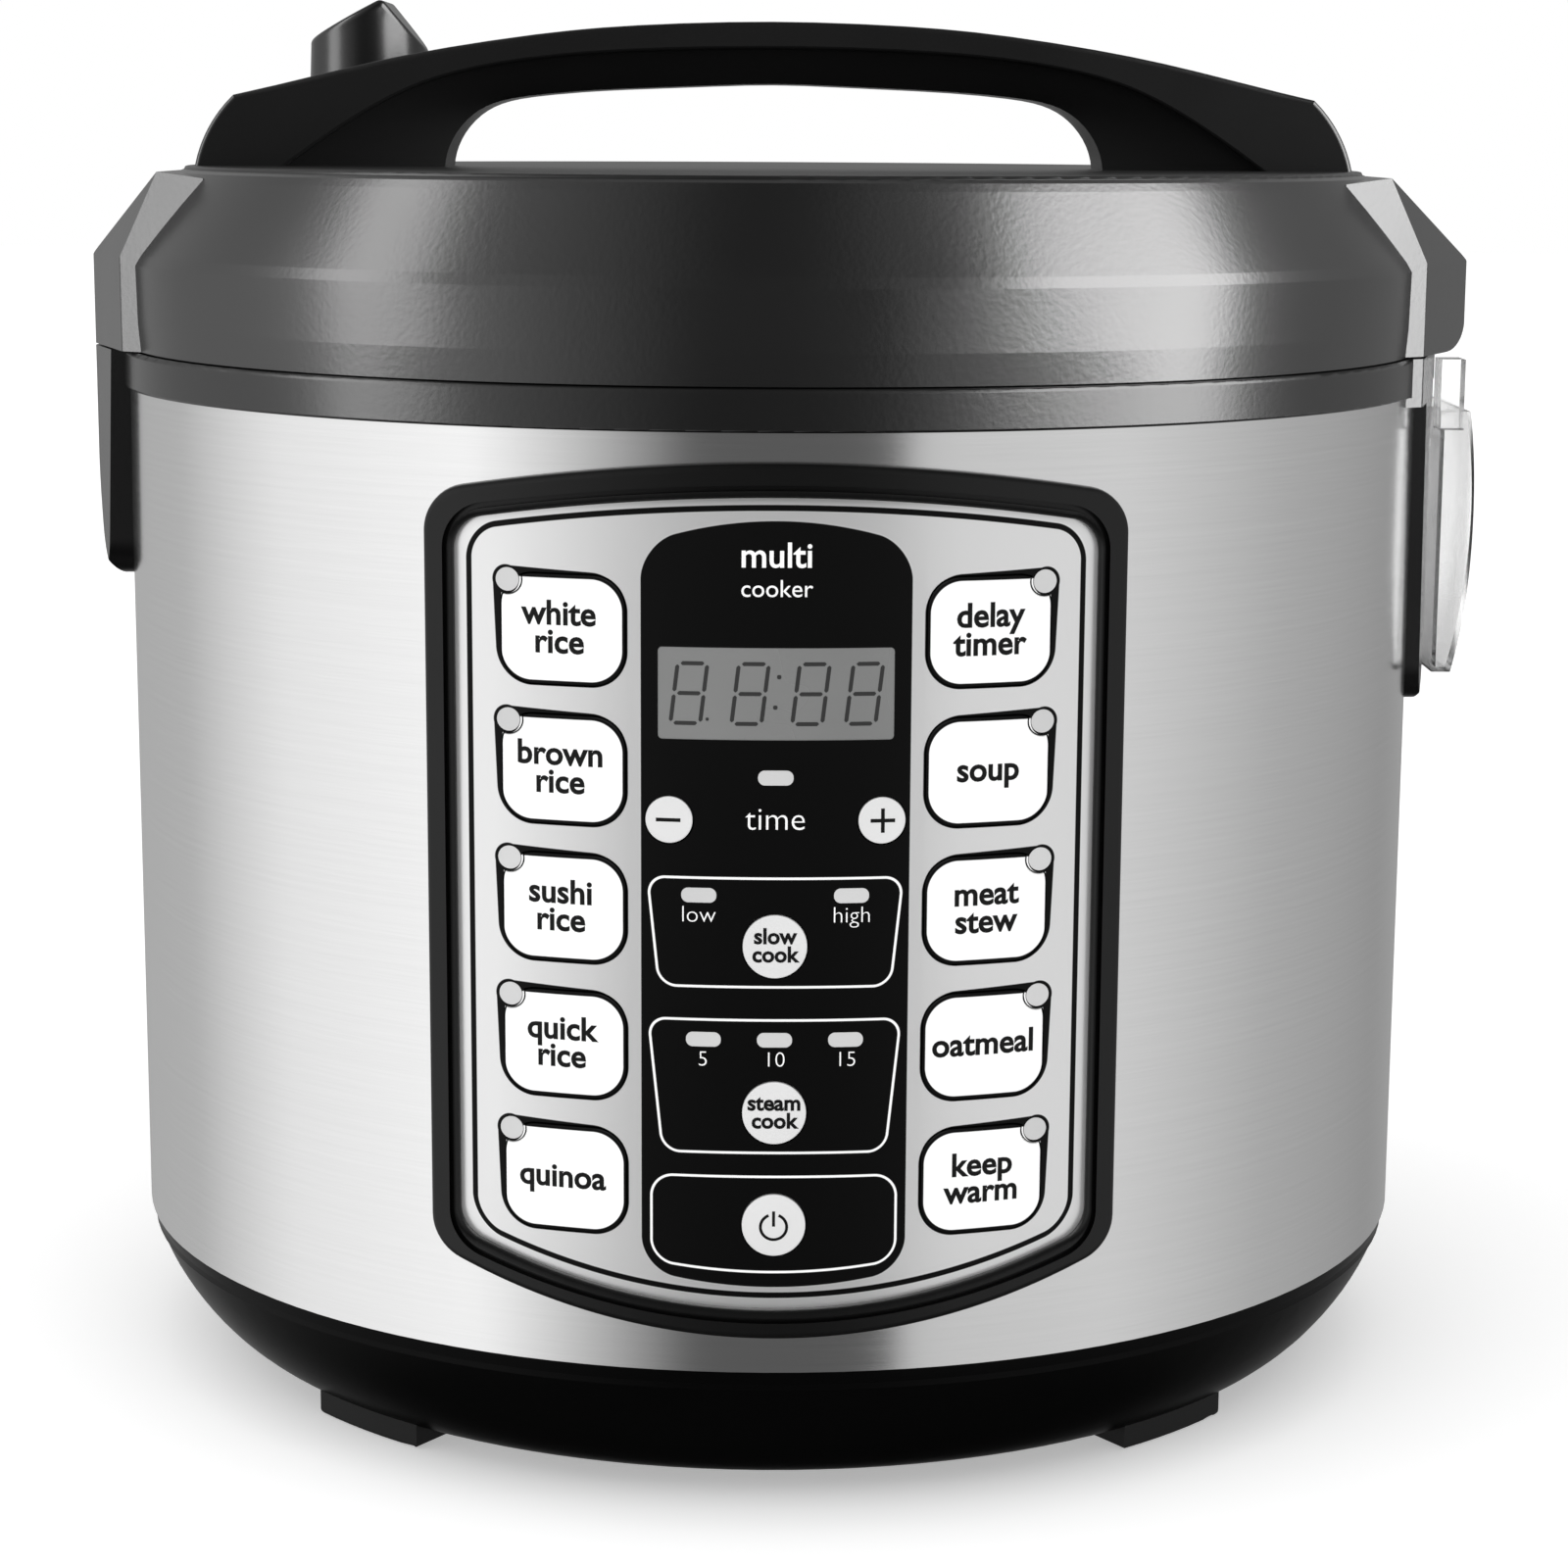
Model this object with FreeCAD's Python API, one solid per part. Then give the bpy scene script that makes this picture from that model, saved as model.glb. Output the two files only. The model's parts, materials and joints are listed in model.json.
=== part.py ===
import FreeCAD, Part
import math
import os

# Countertop multicooker: steel drum body, side-hinged domed lid with an arch handle,
# wrap-round control panel, clip-on condensation cup. Millimetres, Z up, front is -Y.
V = FreeCAD.Vector
UP = V(0, 0, 1)
ALONG_Y = V(0, 1, 0)
ALONG_X = V(1, 0, 0)

# ---- overall sizes -------------------------------------------------------------------
DRUM_R = 140.0
SHEET_T = 0.8
BASE_TOP_Z = 31.2
BASE_RIM_Z = 3.4
BASE_RIM_R = DRUM_R - 21.0
BASE_CURVE_POWER = 1.45
BASE_WALL = 2.6
DRUM_TOP_Z = 211.0
RING_PROUD = 1.0
RING_TOP_Z = DRUM_TOP_Z + 8.0
LID_SEAM = 0.3
LID_CREASE_Z = RING_TOP_Z + 19.5
LID_RIM_Z = LID_CREASE_Z + 18.0
LID_RIM_R = DRUM_R - 12.0
LID_WALL = 2.5
WALL = 2.3

# ---- clearances ----------------------------------------------------------------------
PIN_RUNNING = 0.05
MOVING_GAP = 0.3
KEY_GAP = 0.3

# ---- feet ----------------------------------------------------------------------------
FOOT_R_IN = BASE_RIM_R - 7.0
FOOT_R_OUT = BASE_RIM_R + 4.0
FOOT_TOP_Z = 9.0
FOOT_ARC = 14.0
FOOT_ANGLES = (-43.0, 43.0, 137.0, 223.0)
FOOT_EDGE = 1.2

# ---- pot, chamber and heater ---------------------------------------------------------
POT_ROOM = 21.6
POT_R = DRUM_R - POT_ROOM
POT_T = 2.4
POT_FLOOR_Z = 46.0
POT_CORNER_R = 16.0
POT_RIM_R = POT_R + 9.1
SEAT_Z = DRUM_TOP_Z + 2.5
SEAT_R_IN = POT_R + 3.6
SEAT_R_OUT = POT_RIM_R + 1.5
CHAMBER_R = POT_R + 2.6
CHAMBER_T = 0.8
CHAMBER_FLOOR_Z = 30.0
CHAMBER_TOP_Z = DRUM_TOP_Z - 5.0
CHAMBER_FLANGE_R = CHAMBER_R + 9.0
PLATE_R = 92.0
PLATE_T = 8.0
PLATE_BORE_R = 21.5
TUBE_RING_R = 70.0
TUBE_R = 4.5
SENSOR_R = 19.0
SENSOR_H = 10.0
SENSOR_WALL = 1.2
SENSOR_POT_GAP = 0.2
SPRING_R = 12.0
SPRING_WIRE_R = 0.6
SPRING_PITCH = 2.8

# ---- control panel, as arc length across the drum and height -------------------------
FRONT_IN_Y = 50.0 - DRUM_R
FRONT_DEPTH = 70.0
BAND_LOW_Z = 30.0
BAND_HIGH_Z = DRUM_TOP_Z + 4.0
BEZEL_PROUD_R = DRUM_R + 3.0
BEZEL_BACK_R = DRUM_R - 1.6
PANEL_R = DRUM_R + 0.8
PANEL_T = 1.8
KEY_FACE_R = DRUM_R + 1.1
KEY_T = 2.0
BEZEL_HALF = 68.7
PANEL_HALF = 62.3
GROOVE_HALF = 64.7
GROOVE_W = 1.0
GROOVE_DEPTH = 1.2
WINDOW_MARGIN = 2.4
FRAME_FIT = 0.2
KEY_W = 24.2
KEY_H = 20.6
KEY_CORNER = 6.0
KEY_COLUMN_S = 40.3
KEY_TOP_Z = 174.0
KEY_PITCH_Z = 26.4
KEY_ROWS = 5
ROUND_KEY_R = 6.05
SMALL_KEY_R = 4.4
STEM_R = 2.0
LED_R = 2.2
LED_RING_R = 2.6
LED_BAR_W = 6.6
LED_BAR_H = 2.8
LCD_HALF_W = 22.0
LCD_LOW_Z = 154.25
LCD_HIGH_Z = 171.5
ROUND_KEYS = {
    "key_minus": (-19.9, 139.0, SMALL_KEY_R),
    "key_plus": (19.9, 139.0, SMALL_KEY_R),
    "key_slow": (0.0, 115.1, ROUND_KEY_R),
    "key_steam": (0.0, 82.9, ROUND_KEY_R),
    "key_power": (0.0, 60.9, ROUND_KEY_R),
}
LED_BARS = ((0.0, 147.2), (-14.3, 124.8), (14.3, 124.8), (-13.4, 97.1), (0.0, 97.1), (13.4, 97.1))
LED_COLUMN_S = KEY_COLUMN_S + KEY_W / 2 - 1.2
LED_ABOVE_KEY = KEY_H / 2 - 1.3

# ---- side lugs, hinge and latch ------------------------------------------------------
LUG_HALF = 45.0
LUG_FACE_HALF = 16.0
LUG_EDGE_R = 0.8
LUG_ROOT_X = DRUM_R - 25.0
LUG_CORNER_X = DRUM_R - 4.4
LUG_FACET_SLOPE = 0.65
LUG_SHOULDER_Z = LID_CREASE_Z
LUG_SLOPE_X = LID_RIM_R - 1.5
LUG_PEAK_IN = 7.9
LUG_PEAK_UP = 15.3
LUG_LOW_Z = DRUM_TOP_Z - 11.0
LUG_HIGH_Z = LID_RIM_Z + 3.5
LATCH_OUT_X = DRUM_R + 6.2
HINGE_OUT_X = DRUM_R + 9.5
HINGE_X = HINGE_OUT_X - 6.0
HINGE_Z = RING_TOP_Z + 6.5
HINGE_PIN_R = 1.75
HINGE_PIN_HALF = 15.2
BARREL_R = HINGE_PIN_R + 1.65
BARREL_HALF = 9.0
EAR_R = HINGE_PIN_R + 1.45
EAR_IN_Y = 9.6
EAR_OUT_Y = 14.6
EAR_FOOT_IN_X = DRUM_R + RING_PROUD + 0.3
EAR_SLOT_GAP = 0.5
HINGE_BASE_Z = DRUM_TOP_Z - 2.0
HINGE_BACK_X = DRUM_R + 3.2
HINGE_FACE = (
    (DRUM_R + 1.0, DRUM_TOP_Z - 68.0), (DRUM_R + 2.1, DRUM_TOP_Z - 65.6), (DRUM_R + 2.9, DRUM_TOP_Z - 59.0),
    (HINGE_BACK_X, DRUM_TOP_Z - 46.0), (HINGE_BACK_X, HINGE_BASE_Z),
)
TONGUE_HALF_TOP = 33.0
TONGUE_HALF_LOW = 24.0
LATCH_FACE = (
    (DRUM_R + 0.8, DRUM_TOP_Z - 41.4), (DRUM_R + 3.2, DRUM_TOP_Z - 38.6), (DRUM_R + 5.4, DRUM_TOP_Z - 29.5),
    (DRUM_R + 6.1, DRUM_TOP_Z - 19.0), (LATCH_OUT_X, DRUM_TOP_Z - 6.0), (LATCH_OUT_X, RING_TOP_Z - 0.1),
)
BUTTON_HALF = 13.0
BUTTON_LOW_Z = DRUM_TOP_Z - 23.0
BUTTON_HIGH_Z = DRUM_TOP_Z - 4.0
BUTTON_PROUD = 0.6
BUTTON_SKIN = 2.8
BUTTON_BACK_X = -LATCH_OUT_X + 3.6
HOOK_HALF = 5.0
HOOK_T = 2.0
HOOK_FRONT_X = -LATCH_OUT_X + 7.0
HOOK_BACK_X = HOOK_FRONT_X + HOOK_T
HOOK_GAP_X = HOOK_BACK_X + 3.2
HOOK_TOP_Z = RING_TOP_Z + 7.5
NOSE_X = HOOK_FRONT_X - 1.5
NOSE_Z = RING_TOP_Z + 4.0

# ---- lid fittings --------------------------------------------------------------------
TOP_PLATE_R = LID_RIM_R - 0.8
TOP_PLATE_T = 1.6
VENT_X = -93.5
VENT_Y = 54.0
VENT_R = 14.5
VENT_TUBE_R = 7.0
VENT_PEAK_X = VENT_X + 4.0
VENT_TOP_Z = LID_RIM_Z + 37.8
VENT_LOW_Z = LID_RIM_Z + 29.0
VENT_FALL = 1.19
HANDLE_HALF_Y = 20.0
HANDLE_CORE_HALF_Y = 13.0
HANDLE_EDGE = 1.0
HANDLE_BROW_EDGE = 0.7
HANDLE_END_X = 123.5
HANDLE_END_BULGE = 1.3
HANDLE_SCREW_XY = ((-96.0, 0.0), (96.0, 0.0))
HANDLE_FOOT_UP = TOP_PLATE_T - 1.0
HANDLE_FOOT_Z = LID_RIM_Z + HANDLE_FOOT_UP
HANDLE_CROWN = (
    (-115, 15.5), (-102, 18.5), (-81, 23.4), (-60, 27.1), (-40, 29.6), (-19, 30.9), (0, 31.3),
)
HANDLE_GAP = (
    (-70.7, HANDLE_FOOT_UP), (-68.6, 7.1), (-63.0, 12.7), (-52.0, 15.7), (-19, 17.8), (0, 18.4),
)
HANDLE_BROW = (
    (-104, HANDLE_FOOT_UP), (-91, 9.5), (-75, 17.8), (-58, 22.1), (-25, 25.1), (0, 25.6),
)

# ---- condensation cup ----------------------------------------------------------------
CUP_HALF = 25.0
CUP_WALL = 1.0
CUP_LOW_Z = DRUM_TOP_Z - 61.0
CUP_TOP_Z = DRUM_TOP_Z - 4.5
CUP_BACK_X = HINGE_BACK_X + MOVING_GAP
CUP_CORNER = 5.0
CUP_FOOT_X = HINGE_BACK_X + 4.4
CUP_BELLY_X = HINGE_BACK_X + 8.4
CUP_BELLY_Z = CUP_LOW_Z + 26.0
CUP_MOUTH_X = HINGE_BACK_X + 6.8
CUP_PEG_TOP_Z = RING_TOP_Z - 1.4
CUP_PEG_OUT_X = HINGE_BACK_X + 5.4
CUP_PEG_IN_Y = 16.0
CUP_PEG_OUT_Y = 24.0
CUP_TABS_Y = (-12.0, 12.0)
CUP_TAB_HALF = 3.0
CUP_TAB_Z = CUP_TOP_Z - 8.5
CUP_TAB_T = 2.0
CUP_TAB_DEPTH = 3.0

# ---- power inlet ---------------------------------------------------------------------
INLET_Z = 60.0
INLET_HALF_W = 17.0
INLET_HALF_H = 14.0
INLET_FLANGE = 4.0
INLET_DEPTH = 18.0
INLET_FACE_Y = DRUM_R + 2.0
INLET_BACK_T = 2.0
INLET_PIN_HALF = 2.0
INLET_PIN_LEN = 9.0
PIN_XZ = ((-7.0, INLET_Z - 3.0), (7.0, INLET_Z - 3.0), (0.0, INLET_Z + 3.0))

# ---- base and supports -------------------------------------------------------------------
BASE_FLOOR_Z = 6.5
BASE_FLOOR_T = 2.5
BASE_RECESS_R = FOOT_R_IN
UPSTAND_R = DRUM_R - SHEET_T - 0.2
UPSTAND_T = 2.2
UPSTAND_H = 6.0
SCREW_RING_R = 98.0
SCREW_R = 1.7
SCREW_HEAD_R = 3.6
SCREW_HEAD_H = 2.0
SUPPORT_R = 5.0
QUARTERS = (45.0, 135.0, 225.0, 315.0)

# ---- heater terminals --------------------------------------------------------------------
TERMINAL_R = 3.0

# ---- boards and key switches -------------------------------------------------------------
BOARD_FRONT_Y = 12.2 - DRUM_R
BOARD_T = 1.6
BOARD_HALF = 52.0
SWITCH_HALF = 3.0
SWITCH_GAP = 0.8
KEY_STEM_LEN = 1.4

# ---- lid lining, gasket and inner plate --------------------------------------------------
LINER_R = LID_RIM_R - 1.0
LINER_T = 2.0
GASKET_R_IN = POT_R - 0.2
GASKET_R_OUT = GASKET_R_IN + 5.3
INNER_PLATE_T = 1.2
VENT_HOLE_R = 3.0


def ring(r_in, r_out, z0, z1):
    outer = Part.makeCylinder(r_out, z1 - z0, V(0, 0, z0))
    return outer.cut(Part.makeCylinder(r_in, z1 - z0, V(0, 0, z0)))


def box(x0, x1, y0, y1, z0, z1):
    return Part.makeBox(x1 - x0, y1 - y0, z1 - z0, V(x0, y0, z0))


def rod(radius, start, end):
    return Part.makeCylinder(radius, (end - start).Length, start, end - start)


def face_of(points):
    return Part.Face(Part.makePolygon(points + [points[0]]))


def turned(points):
    """Solid of revolution about Z from (radius, height) points."""
    profile = face_of([V(r, 0, z) for r, z in points])
    return profile.revolve(V(0, 0, 0), UP, 360)


def plan_prism(points, z0, z1):
    """Solid from (x, y) points, extruded upward."""
    return face_of([V(x, y, z0) for x, y in points]).extrude(V(0, 0, z1 - z0))


def elevation_prism(points, y0, y1):
    """Solid from (x, z) points, extruded along Y."""
    return face_of([V(x, y0, z) for x, z in points]).extrude(V(0, y1 - y0, 0))


def side_prism(points, x0, x1):
    """Solid from (y, z) points, extruded along X."""
    return face_of([V(x0, y, z) for y, z in points]).extrude(V(x1 - x0, 0, 0))


def edges_along(shape, direction):
    """Straight edges of a shape that run parallel to a direction."""
    found = []
    for edge in shape.Edges:
        if isinstance(edge.Curve, Part.Line):
            run = edge.Vertexes[-1].Point - edge.Vertexes[0].Point
            if run.Length > 0 and abs(run.normalize().dot(direction)) > 0.999:
                found.append(edge)
    return found


def spline_edge(points):
    curve = Part.BSplineCurve()
    curve.interpolate(points)
    return curve.toShape()


def arc_x(s):
    """Sideways position of an arc length measured round the drum from the front."""
    return DRUM_R * math.sin(s / DRUM_R)


def on_drum(radius, s, z):
    angle = s / DRUM_R
    return V(radius * math.sin(angle), -radius * math.cos(angle), z)


def front_band(r_in, r_out):
    """Drum-shaped band that is tall enough for the whole control panel."""
    return ring(r_in, r_out, BAND_LOW_Z, BAND_HIGH_Z)


def front_prism(face):
    return face.extrude(V(0, -FRONT_DEPTH, 0))


def bowed_outline(half, top_mid, top_drop, low_mid, low_rise, corner):
    """Rounded block through the front of the drum with arched top and bottom edges."""
    x = arc_x(half)
    y = FRONT_IN_Y
    top = Part.Arc(V(-x, y, top_mid - top_drop), V(0, y, top_mid), V(x, y, top_mid - top_drop))
    low = Part.Arc(V(x, y, low_mid + low_rise), V(0, y, low_mid), V(-x, y, low_mid + low_rise))
    right = Part.makeLine(V(x, y, top_mid - top_drop), V(x, y, low_mid + low_rise))
    left = Part.makeLine(V(-x, y, low_mid + low_rise), V(-x, y, top_mid - top_drop))
    solid = front_prism(Part.Face(Part.Wire([top.toShape(), right, low.toShape(), left])))
    return solid.makeFillet(corner, edges_along(solid, ALONG_Y))


def rounded_block(s, z, width, height, corner):
    """Rounded rectangular block through the front of the drum at arc length s."""
    x0 = arc_x(s - width / 2)
    x1 = arc_x(s + width / 2)
    solid = box(x0, x1, FRONT_IN_Y - FRONT_DEPTH, FRONT_IN_Y, z - height / 2, z + height / 2)
    return solid.makeFillet(corner, edges_along(solid, ALONG_Y))


def round_block(s, z, radius):
    return Part.makeCylinder(radius, FRONT_DEPTH, V(arc_x(s), FRONT_IN_Y, z), V(0, -1, 0))


def base_curve(count):
    """Points of the base bowl from its standing rim up to the steel."""
    reach = DRUM_R - 0.5 - BASE_RIM_R
    rise = BASE_TOP_Z - BASE_RIM_Z
    points = []
    for i in range(count + 1):
        across = math.sin(math.pi / 2 * i / count)
        up = (1 - across**BASE_CURVE_POWER) ** (1 / BASE_CURVE_POWER)
        points.append((BASE_RIM_R + reach * across, BASE_TOP_Z - rise * up))
    return points


def bowl(offset_r, offset_z, floor_z, top_z, steps=12):
    """Solid bowl body following the base curve, shifted by the given offsets."""
    curve = [V(r - offset_r, 0, z + offset_z) for r, z in base_curve(steps)]
    side = spline_edge(curve)
    first = curve[0]
    last = curve[-1]
    corners = [last, V(last.x, 0, top_z), V(0, 0, top_z), V(0, 0, floor_z), V(first.x, 0, floor_z), first]
    lines = [Part.makeLine(a, b) for a, b in zip(corners, corners[1:]) if (b - a).Length > 1e-6]
    profile = Part.Face(Part.Wire([side] + lines))
    return profile.revolve(V(0, 0, 0), UP, 360)


# ======================================================================================
# Base, drum and inside
# ======================================================================================


def at_angle(radius, degrees, z):
    """Point at an angle counted from the front toward +X."""
    a = math.radians(degrees)
    return V(radius * math.sin(a), -radius * math.cos(a), z)


def make_base_pan():
    pan = bowl(0, 0, BASE_RIM_Z, BASE_TOP_Z)
    pan = pan.cut(bowl(BASE_WALL, BASE_WALL, BASE_FLOOR_Z + BASE_FLOOR_T, BASE_TOP_Z + 10))
    pan = pan.cut(Part.makeCylinder(BASE_RECESS_R, BASE_FLOOR_Z - BASE_RIM_Z, V(0, 0, BASE_RIM_Z)))
    pan = pan.fuse(ring(UPSTAND_R - UPSTAND_T, UPSTAND_R, BASE_TOP_Z - 4, BASE_TOP_Z + UPSTAND_H))
    slot_len = 26.0
    slot_half = 1.6
    for row_r in (40.0, 74.0):
        for i in range(24):
            slot = box(row_r - slot_len / 2, row_r + slot_len / 2, -slot_half, slot_half, 0, 12)
            slot.rotate(V(0, 0, 0), UP, i * 15.0)
            pan = pan.cut(slot)
    for angle in QUARTERS:
        foot = at_angle(SCREW_RING_R, angle, 0)
        pan = pan.cut(rod(SCREW_R + 0.1, foot, foot + UP * 12))
    return pan.removeSplitter()


def make_feet():
    pads = []
    keep_out = bowl(0, 0, BASE_RIM_Z, BASE_TOP_Z)
    for angle in FOOT_ANGLES:
        pad = ring(FOOT_R_IN, FOOT_R_OUT, 0, FOOT_TOP_Z)
        a0 = at_angle(200, angle - FOOT_ARC / 2, 0)
        a1 = at_angle(200, angle + FOOT_ARC / 2, 0)
        wedge = plan_prism([(0, 0), (a0.x, a0.y), (a1.x, a1.y)], 0, FOOT_TOP_Z)
        pad = pad.common(wedge)
        under = [e for e in pad.Edges if e.BoundBox.ZMax < 0.01]
        pad = pad.makeFillet(FOOT_EDGE, under)
        pads.append(pad.cut(keep_out))
    return Part.makeCompound(pads)


def make_base_screws():
    screws = []
    for angle in QUARTERS:
        foot = at_angle(SCREW_RING_R, angle, BASE_FLOOR_Z - SCREW_HEAD_H)
        head = rod(SCREW_HEAD_R, foot, foot + UP * SCREW_HEAD_H)
        cross = box(-2.2, 2.2, -0.4, 0.4, 0, 1.0).fuse(box(-0.4, 0.4, -2.2, 2.2, 0, 1.0))
        cross.translate(foot)
        screws.append(head.fuse(rod(SCREW_R, foot, foot + UP * 14)).cut(cross))
    return Part.makeCompound(screws)


def make_chamber_supports():
    posts = []
    low = BASE_FLOOR_Z + BASE_FLOOR_T
    for angle in QUARTERS:
        foot = at_angle(SCREW_RING_R, angle, low)
        post = rod(SUPPORT_R, foot, V(foot.x, foot.y, CHAMBER_FLOOR_Z))
        hole_top = BASE_FLOOR_Z - SCREW_HEAD_H + 14
        posts.append(post.cut(rod(SCREW_R, foot, V(foot.x, foot.y, hole_top))))
    return Part.makeCompound(posts)


def inlet_gap():
    wide = INLET_HALF_W + INLET_FLANGE
    high = INLET_HALF_H + INLET_FLANGE
    return box(-wide, wide, DRUM_R - 20, DRUM_R + 20, INLET_Z - high, INLET_Z + high)


def latch_gap():
    """Room behind the latch cover for the hook and its travel."""
    half = HOOK_HALF + 1.0
    return box(-LATCH_OUT_X + WALL, HOOK_GAP_X, -half, half, BUTTON_LOW_Z - 2, HOOK_TOP_Z + 5.5)


def make_steel_wrap():
    wrap = ring(DRUM_R - SHEET_T, DRUM_R, BASE_TOP_Z, DRUM_TOP_Z)
    return wrap.cut(panel_edge(WINDOW_MARGIN)).cut(inlet_gap()).cut(latch_gap())


def make_body_ring():
    skirt_in = UPSTAND_R - UPSTAND_T
    outer = DRUM_R + RING_PROUD
    solid = turned([
        (SEAT_R_IN, CHAMBER_TOP_Z), (SEAT_R_IN + 2, CHAMBER_TOP_Z), (SEAT_R_IN + 2, DRUM_TOP_Z),
        (skirt_in, DRUM_TOP_Z), (skirt_in, DRUM_TOP_Z - 6), (UPSTAND_R, DRUM_TOP_Z - 6),
        (UPSTAND_R, DRUM_TOP_Z), (outer, DRUM_TOP_Z), (outer, RING_TOP_Z),
        (SEAT_R_OUT, RING_TOP_Z), (SEAT_R_OUT, SEAT_Z), (SEAT_R_IN, SEAT_Z),
    ])
    rims = [e for e in solid.Edges if e.BoundBox.ZMin > RING_TOP_Z - 0.01 and e.BoundBox.XMax > DRUM_R]
    solid = solid.makeFillet(0.8, rims)
    under = [e for e in solid.Edges if abs(e.BoundBox.ZMax - DRUM_TOP_Z) < 0.01]
    low = [e for e in under if e.BoundBox.XMax > DRUM_R + 0.5]
    return solid.makeFillet(0.5, low).cut(latch_gap())


def make_inner_chamber():
    inner = CHAMBER_R - CHAMBER_T
    top = CHAMBER_TOP_Z
    cup = turned([
        (0, CHAMBER_FLOOR_Z), (CHAMBER_R, CHAMBER_FLOOR_Z), (CHAMBER_R, top - CHAMBER_T),
        (CHAMBER_FLANGE_R, top - CHAMBER_T), (CHAMBER_FLANGE_R, top), (inner, top),
        (inner, CHAMBER_FLOOR_Z + CHAMBER_T), (0, CHAMBER_FLOOR_Z + CHAMBER_T),
    ])
    cup = cup.cut(Part.makeCylinder(24, 10, V(0, 0, CHAMBER_FLOOR_Z - 5)))
    for x in (-12.0, 12.0):
        cup = cup.cut(Part.makeCylinder(TERMINAL_R + 1.5, 10, V(x, TUBE_RING_R, CHAMBER_FLOOR_Z - 5)))
    return cup


def make_heating_plate():
    low = POT_FLOOR_Z - PLATE_T
    plate = ring(PLATE_BORE_R, PLATE_R, low, POT_FLOOR_Z)
    rims = [e for e in plate.Edges if e.BoundBox.XMax > PLATE_R - 1 and e.Length > 100]
    plate = plate.makeFillet(2.0, rims)
    groove = Part.makeTorus(TUBE_RING_R, TUBE_R + PIN_RUNNING, V(0, 0, low))
    return plate.cut(groove)


def make_heating_tube():
    low = POT_FLOOR_Z - PLATE_T
    tube = Part.makeTorus(TUBE_RING_R, TUBE_R, V(0, 0, low))
    gap_block = box(-6, 6, 50, 90, low - 10, low + 10)
    tube = tube.cut(gap_block)
    for x in (-12.0, 12.0):
        tube = tube.fuse(rod(TERMINAL_R, V(x, TUBE_RING_R, low - 18), V(x, TUBE_RING_R, low - 1)))
    return tube


def make_plate_legs():
    legs = []
    for angle in (0.0, 120.0, 240.0):
        foot = at_angle(PLATE_R - 8, angle, CHAMBER_FLOOR_Z + CHAMBER_T)
        legs.append(rod(4, foot, V(foot.x, foot.y, POT_FLOOR_Z - PLATE_T)))
    return Part.makeCompound(legs)


def make_thermal_fuse():
    z = POT_FLOOR_Z - PLATE_T - 2.5
    body = rod(2.5, V(-12, 44, z), V(12, 44, z))
    return body.fuse(rod(0.6, V(-20, 44, z), V(20, 44, z)))


def make_sensor_bracket():
    disc = Part.makeCylinder(30, 1.5, V(0, 0, CHAMBER_FLOOR_Z - 1.5))
    post = Part.makeCylinder(5, 9.5, V(0, 0, CHAMBER_FLOOR_Z - 1.5))
    return disc.fuse(post)


def make_thermal_sensor():
    top = POT_FLOOR_Z - SENSOR_POT_GAP
    cap = Part.makeCylinder(SENSOR_R, SENSOR_H, V(0, 0, top - SENSOR_H))
    rims = [e for e in cap.Edges if e.BoundBox.ZMin > top - 0.01]
    cap = cap.makeFillet(1.5, rims)
    return cap.cut(Part.makeCylinder(SENSOR_R - SENSOR_WALL, SENSOR_H - 2.4, V(0, 0, top - SENSOR_H)))


def make_sensor_spring():
    low = CHAMBER_FLOOR_Z + SPRING_WIRE_R + 0.1
    high = POT_FLOOR_Z - SENSOR_POT_GAP - 2.4 - SPRING_WIRE_R - 0.1
    turns = (high - low) / SPRING_PITCH
    steps = int(turns * 12)
    points = []
    for i in range(steps + 1):
        angle = 2 * math.pi * turns * i / steps
        z = low + (high - low) * i / steps
        points.append(V(SPRING_R * math.cos(angle), SPRING_R * math.sin(angle), z))
    path = Part.Wire([spline_edge(points)])
    start = path.Edges[0].tangentAt(path.Edges[0].FirstParameter)
    wire = Part.Wire([Part.Circle(points[0], start, SPRING_WIRE_R).toShape()])
    return path.makePipeShell([wire], True, True)


def make_inner_pot():
    inner = POT_R - POT_T
    top = SEAT_Z + POT_T
    solid = turned([
        (0, POT_FLOOR_Z), (POT_R, POT_FLOOR_Z), (POT_R, SEAT_Z), (POT_RIM_R, SEAT_Z), (POT_RIM_R, top),
        (inner, top), (inner, POT_FLOOR_Z + POT_T), (0, POT_FLOOR_Z + POT_T),
    ])
    outer_edge = [e for e in solid.Edges if e.BoundBox.ZMax < POT_FLOOR_Z + 0.1 and e.BoundBox.XMax > inner]
    solid = solid.makeFillet(POT_CORNER_R, outer_edge)
    inner_edge = [
        e for e in solid.Edges
        if abs(e.BoundBox.ZMax - POT_FLOOR_Z - POT_T) < 0.1 and e.BoundBox.XMax > inner - 1
        and abs(e.BoundBox.ZMin - POT_FLOOR_Z - POT_T) < 0.1
    ]
    return solid.makeFillet(POT_CORNER_R - POT_T, inner_edge)


# ======================================================================================
# Control panel
# ======================================================================================
def bezel_outer():
    return bowed_outline(BEZEL_HALF, 205.6, 6.8, 38.75, 14.0, 9.0)


def panel_edge(grow=0.0):
    return bowed_outline(PANEL_HALF + grow, 199.3 + grow, 5.7, 44.4 - grow, 12.0, 6.5 + grow)


def key_block(s, z, grow):
    """Rectangular key, notched at its outer top corner round its lamp."""
    block = rounded_block(s, z, KEY_W + 2 * grow, KEY_H + 2 * grow, KEY_CORNER + grow)
    lamp_s = math.copysign(LED_COLUMN_S, s)
    return block.cut(round_block(lamp_s, z + LED_ABOVE_KEY, LED_RING_R + KEY_GAP - grow))


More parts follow.
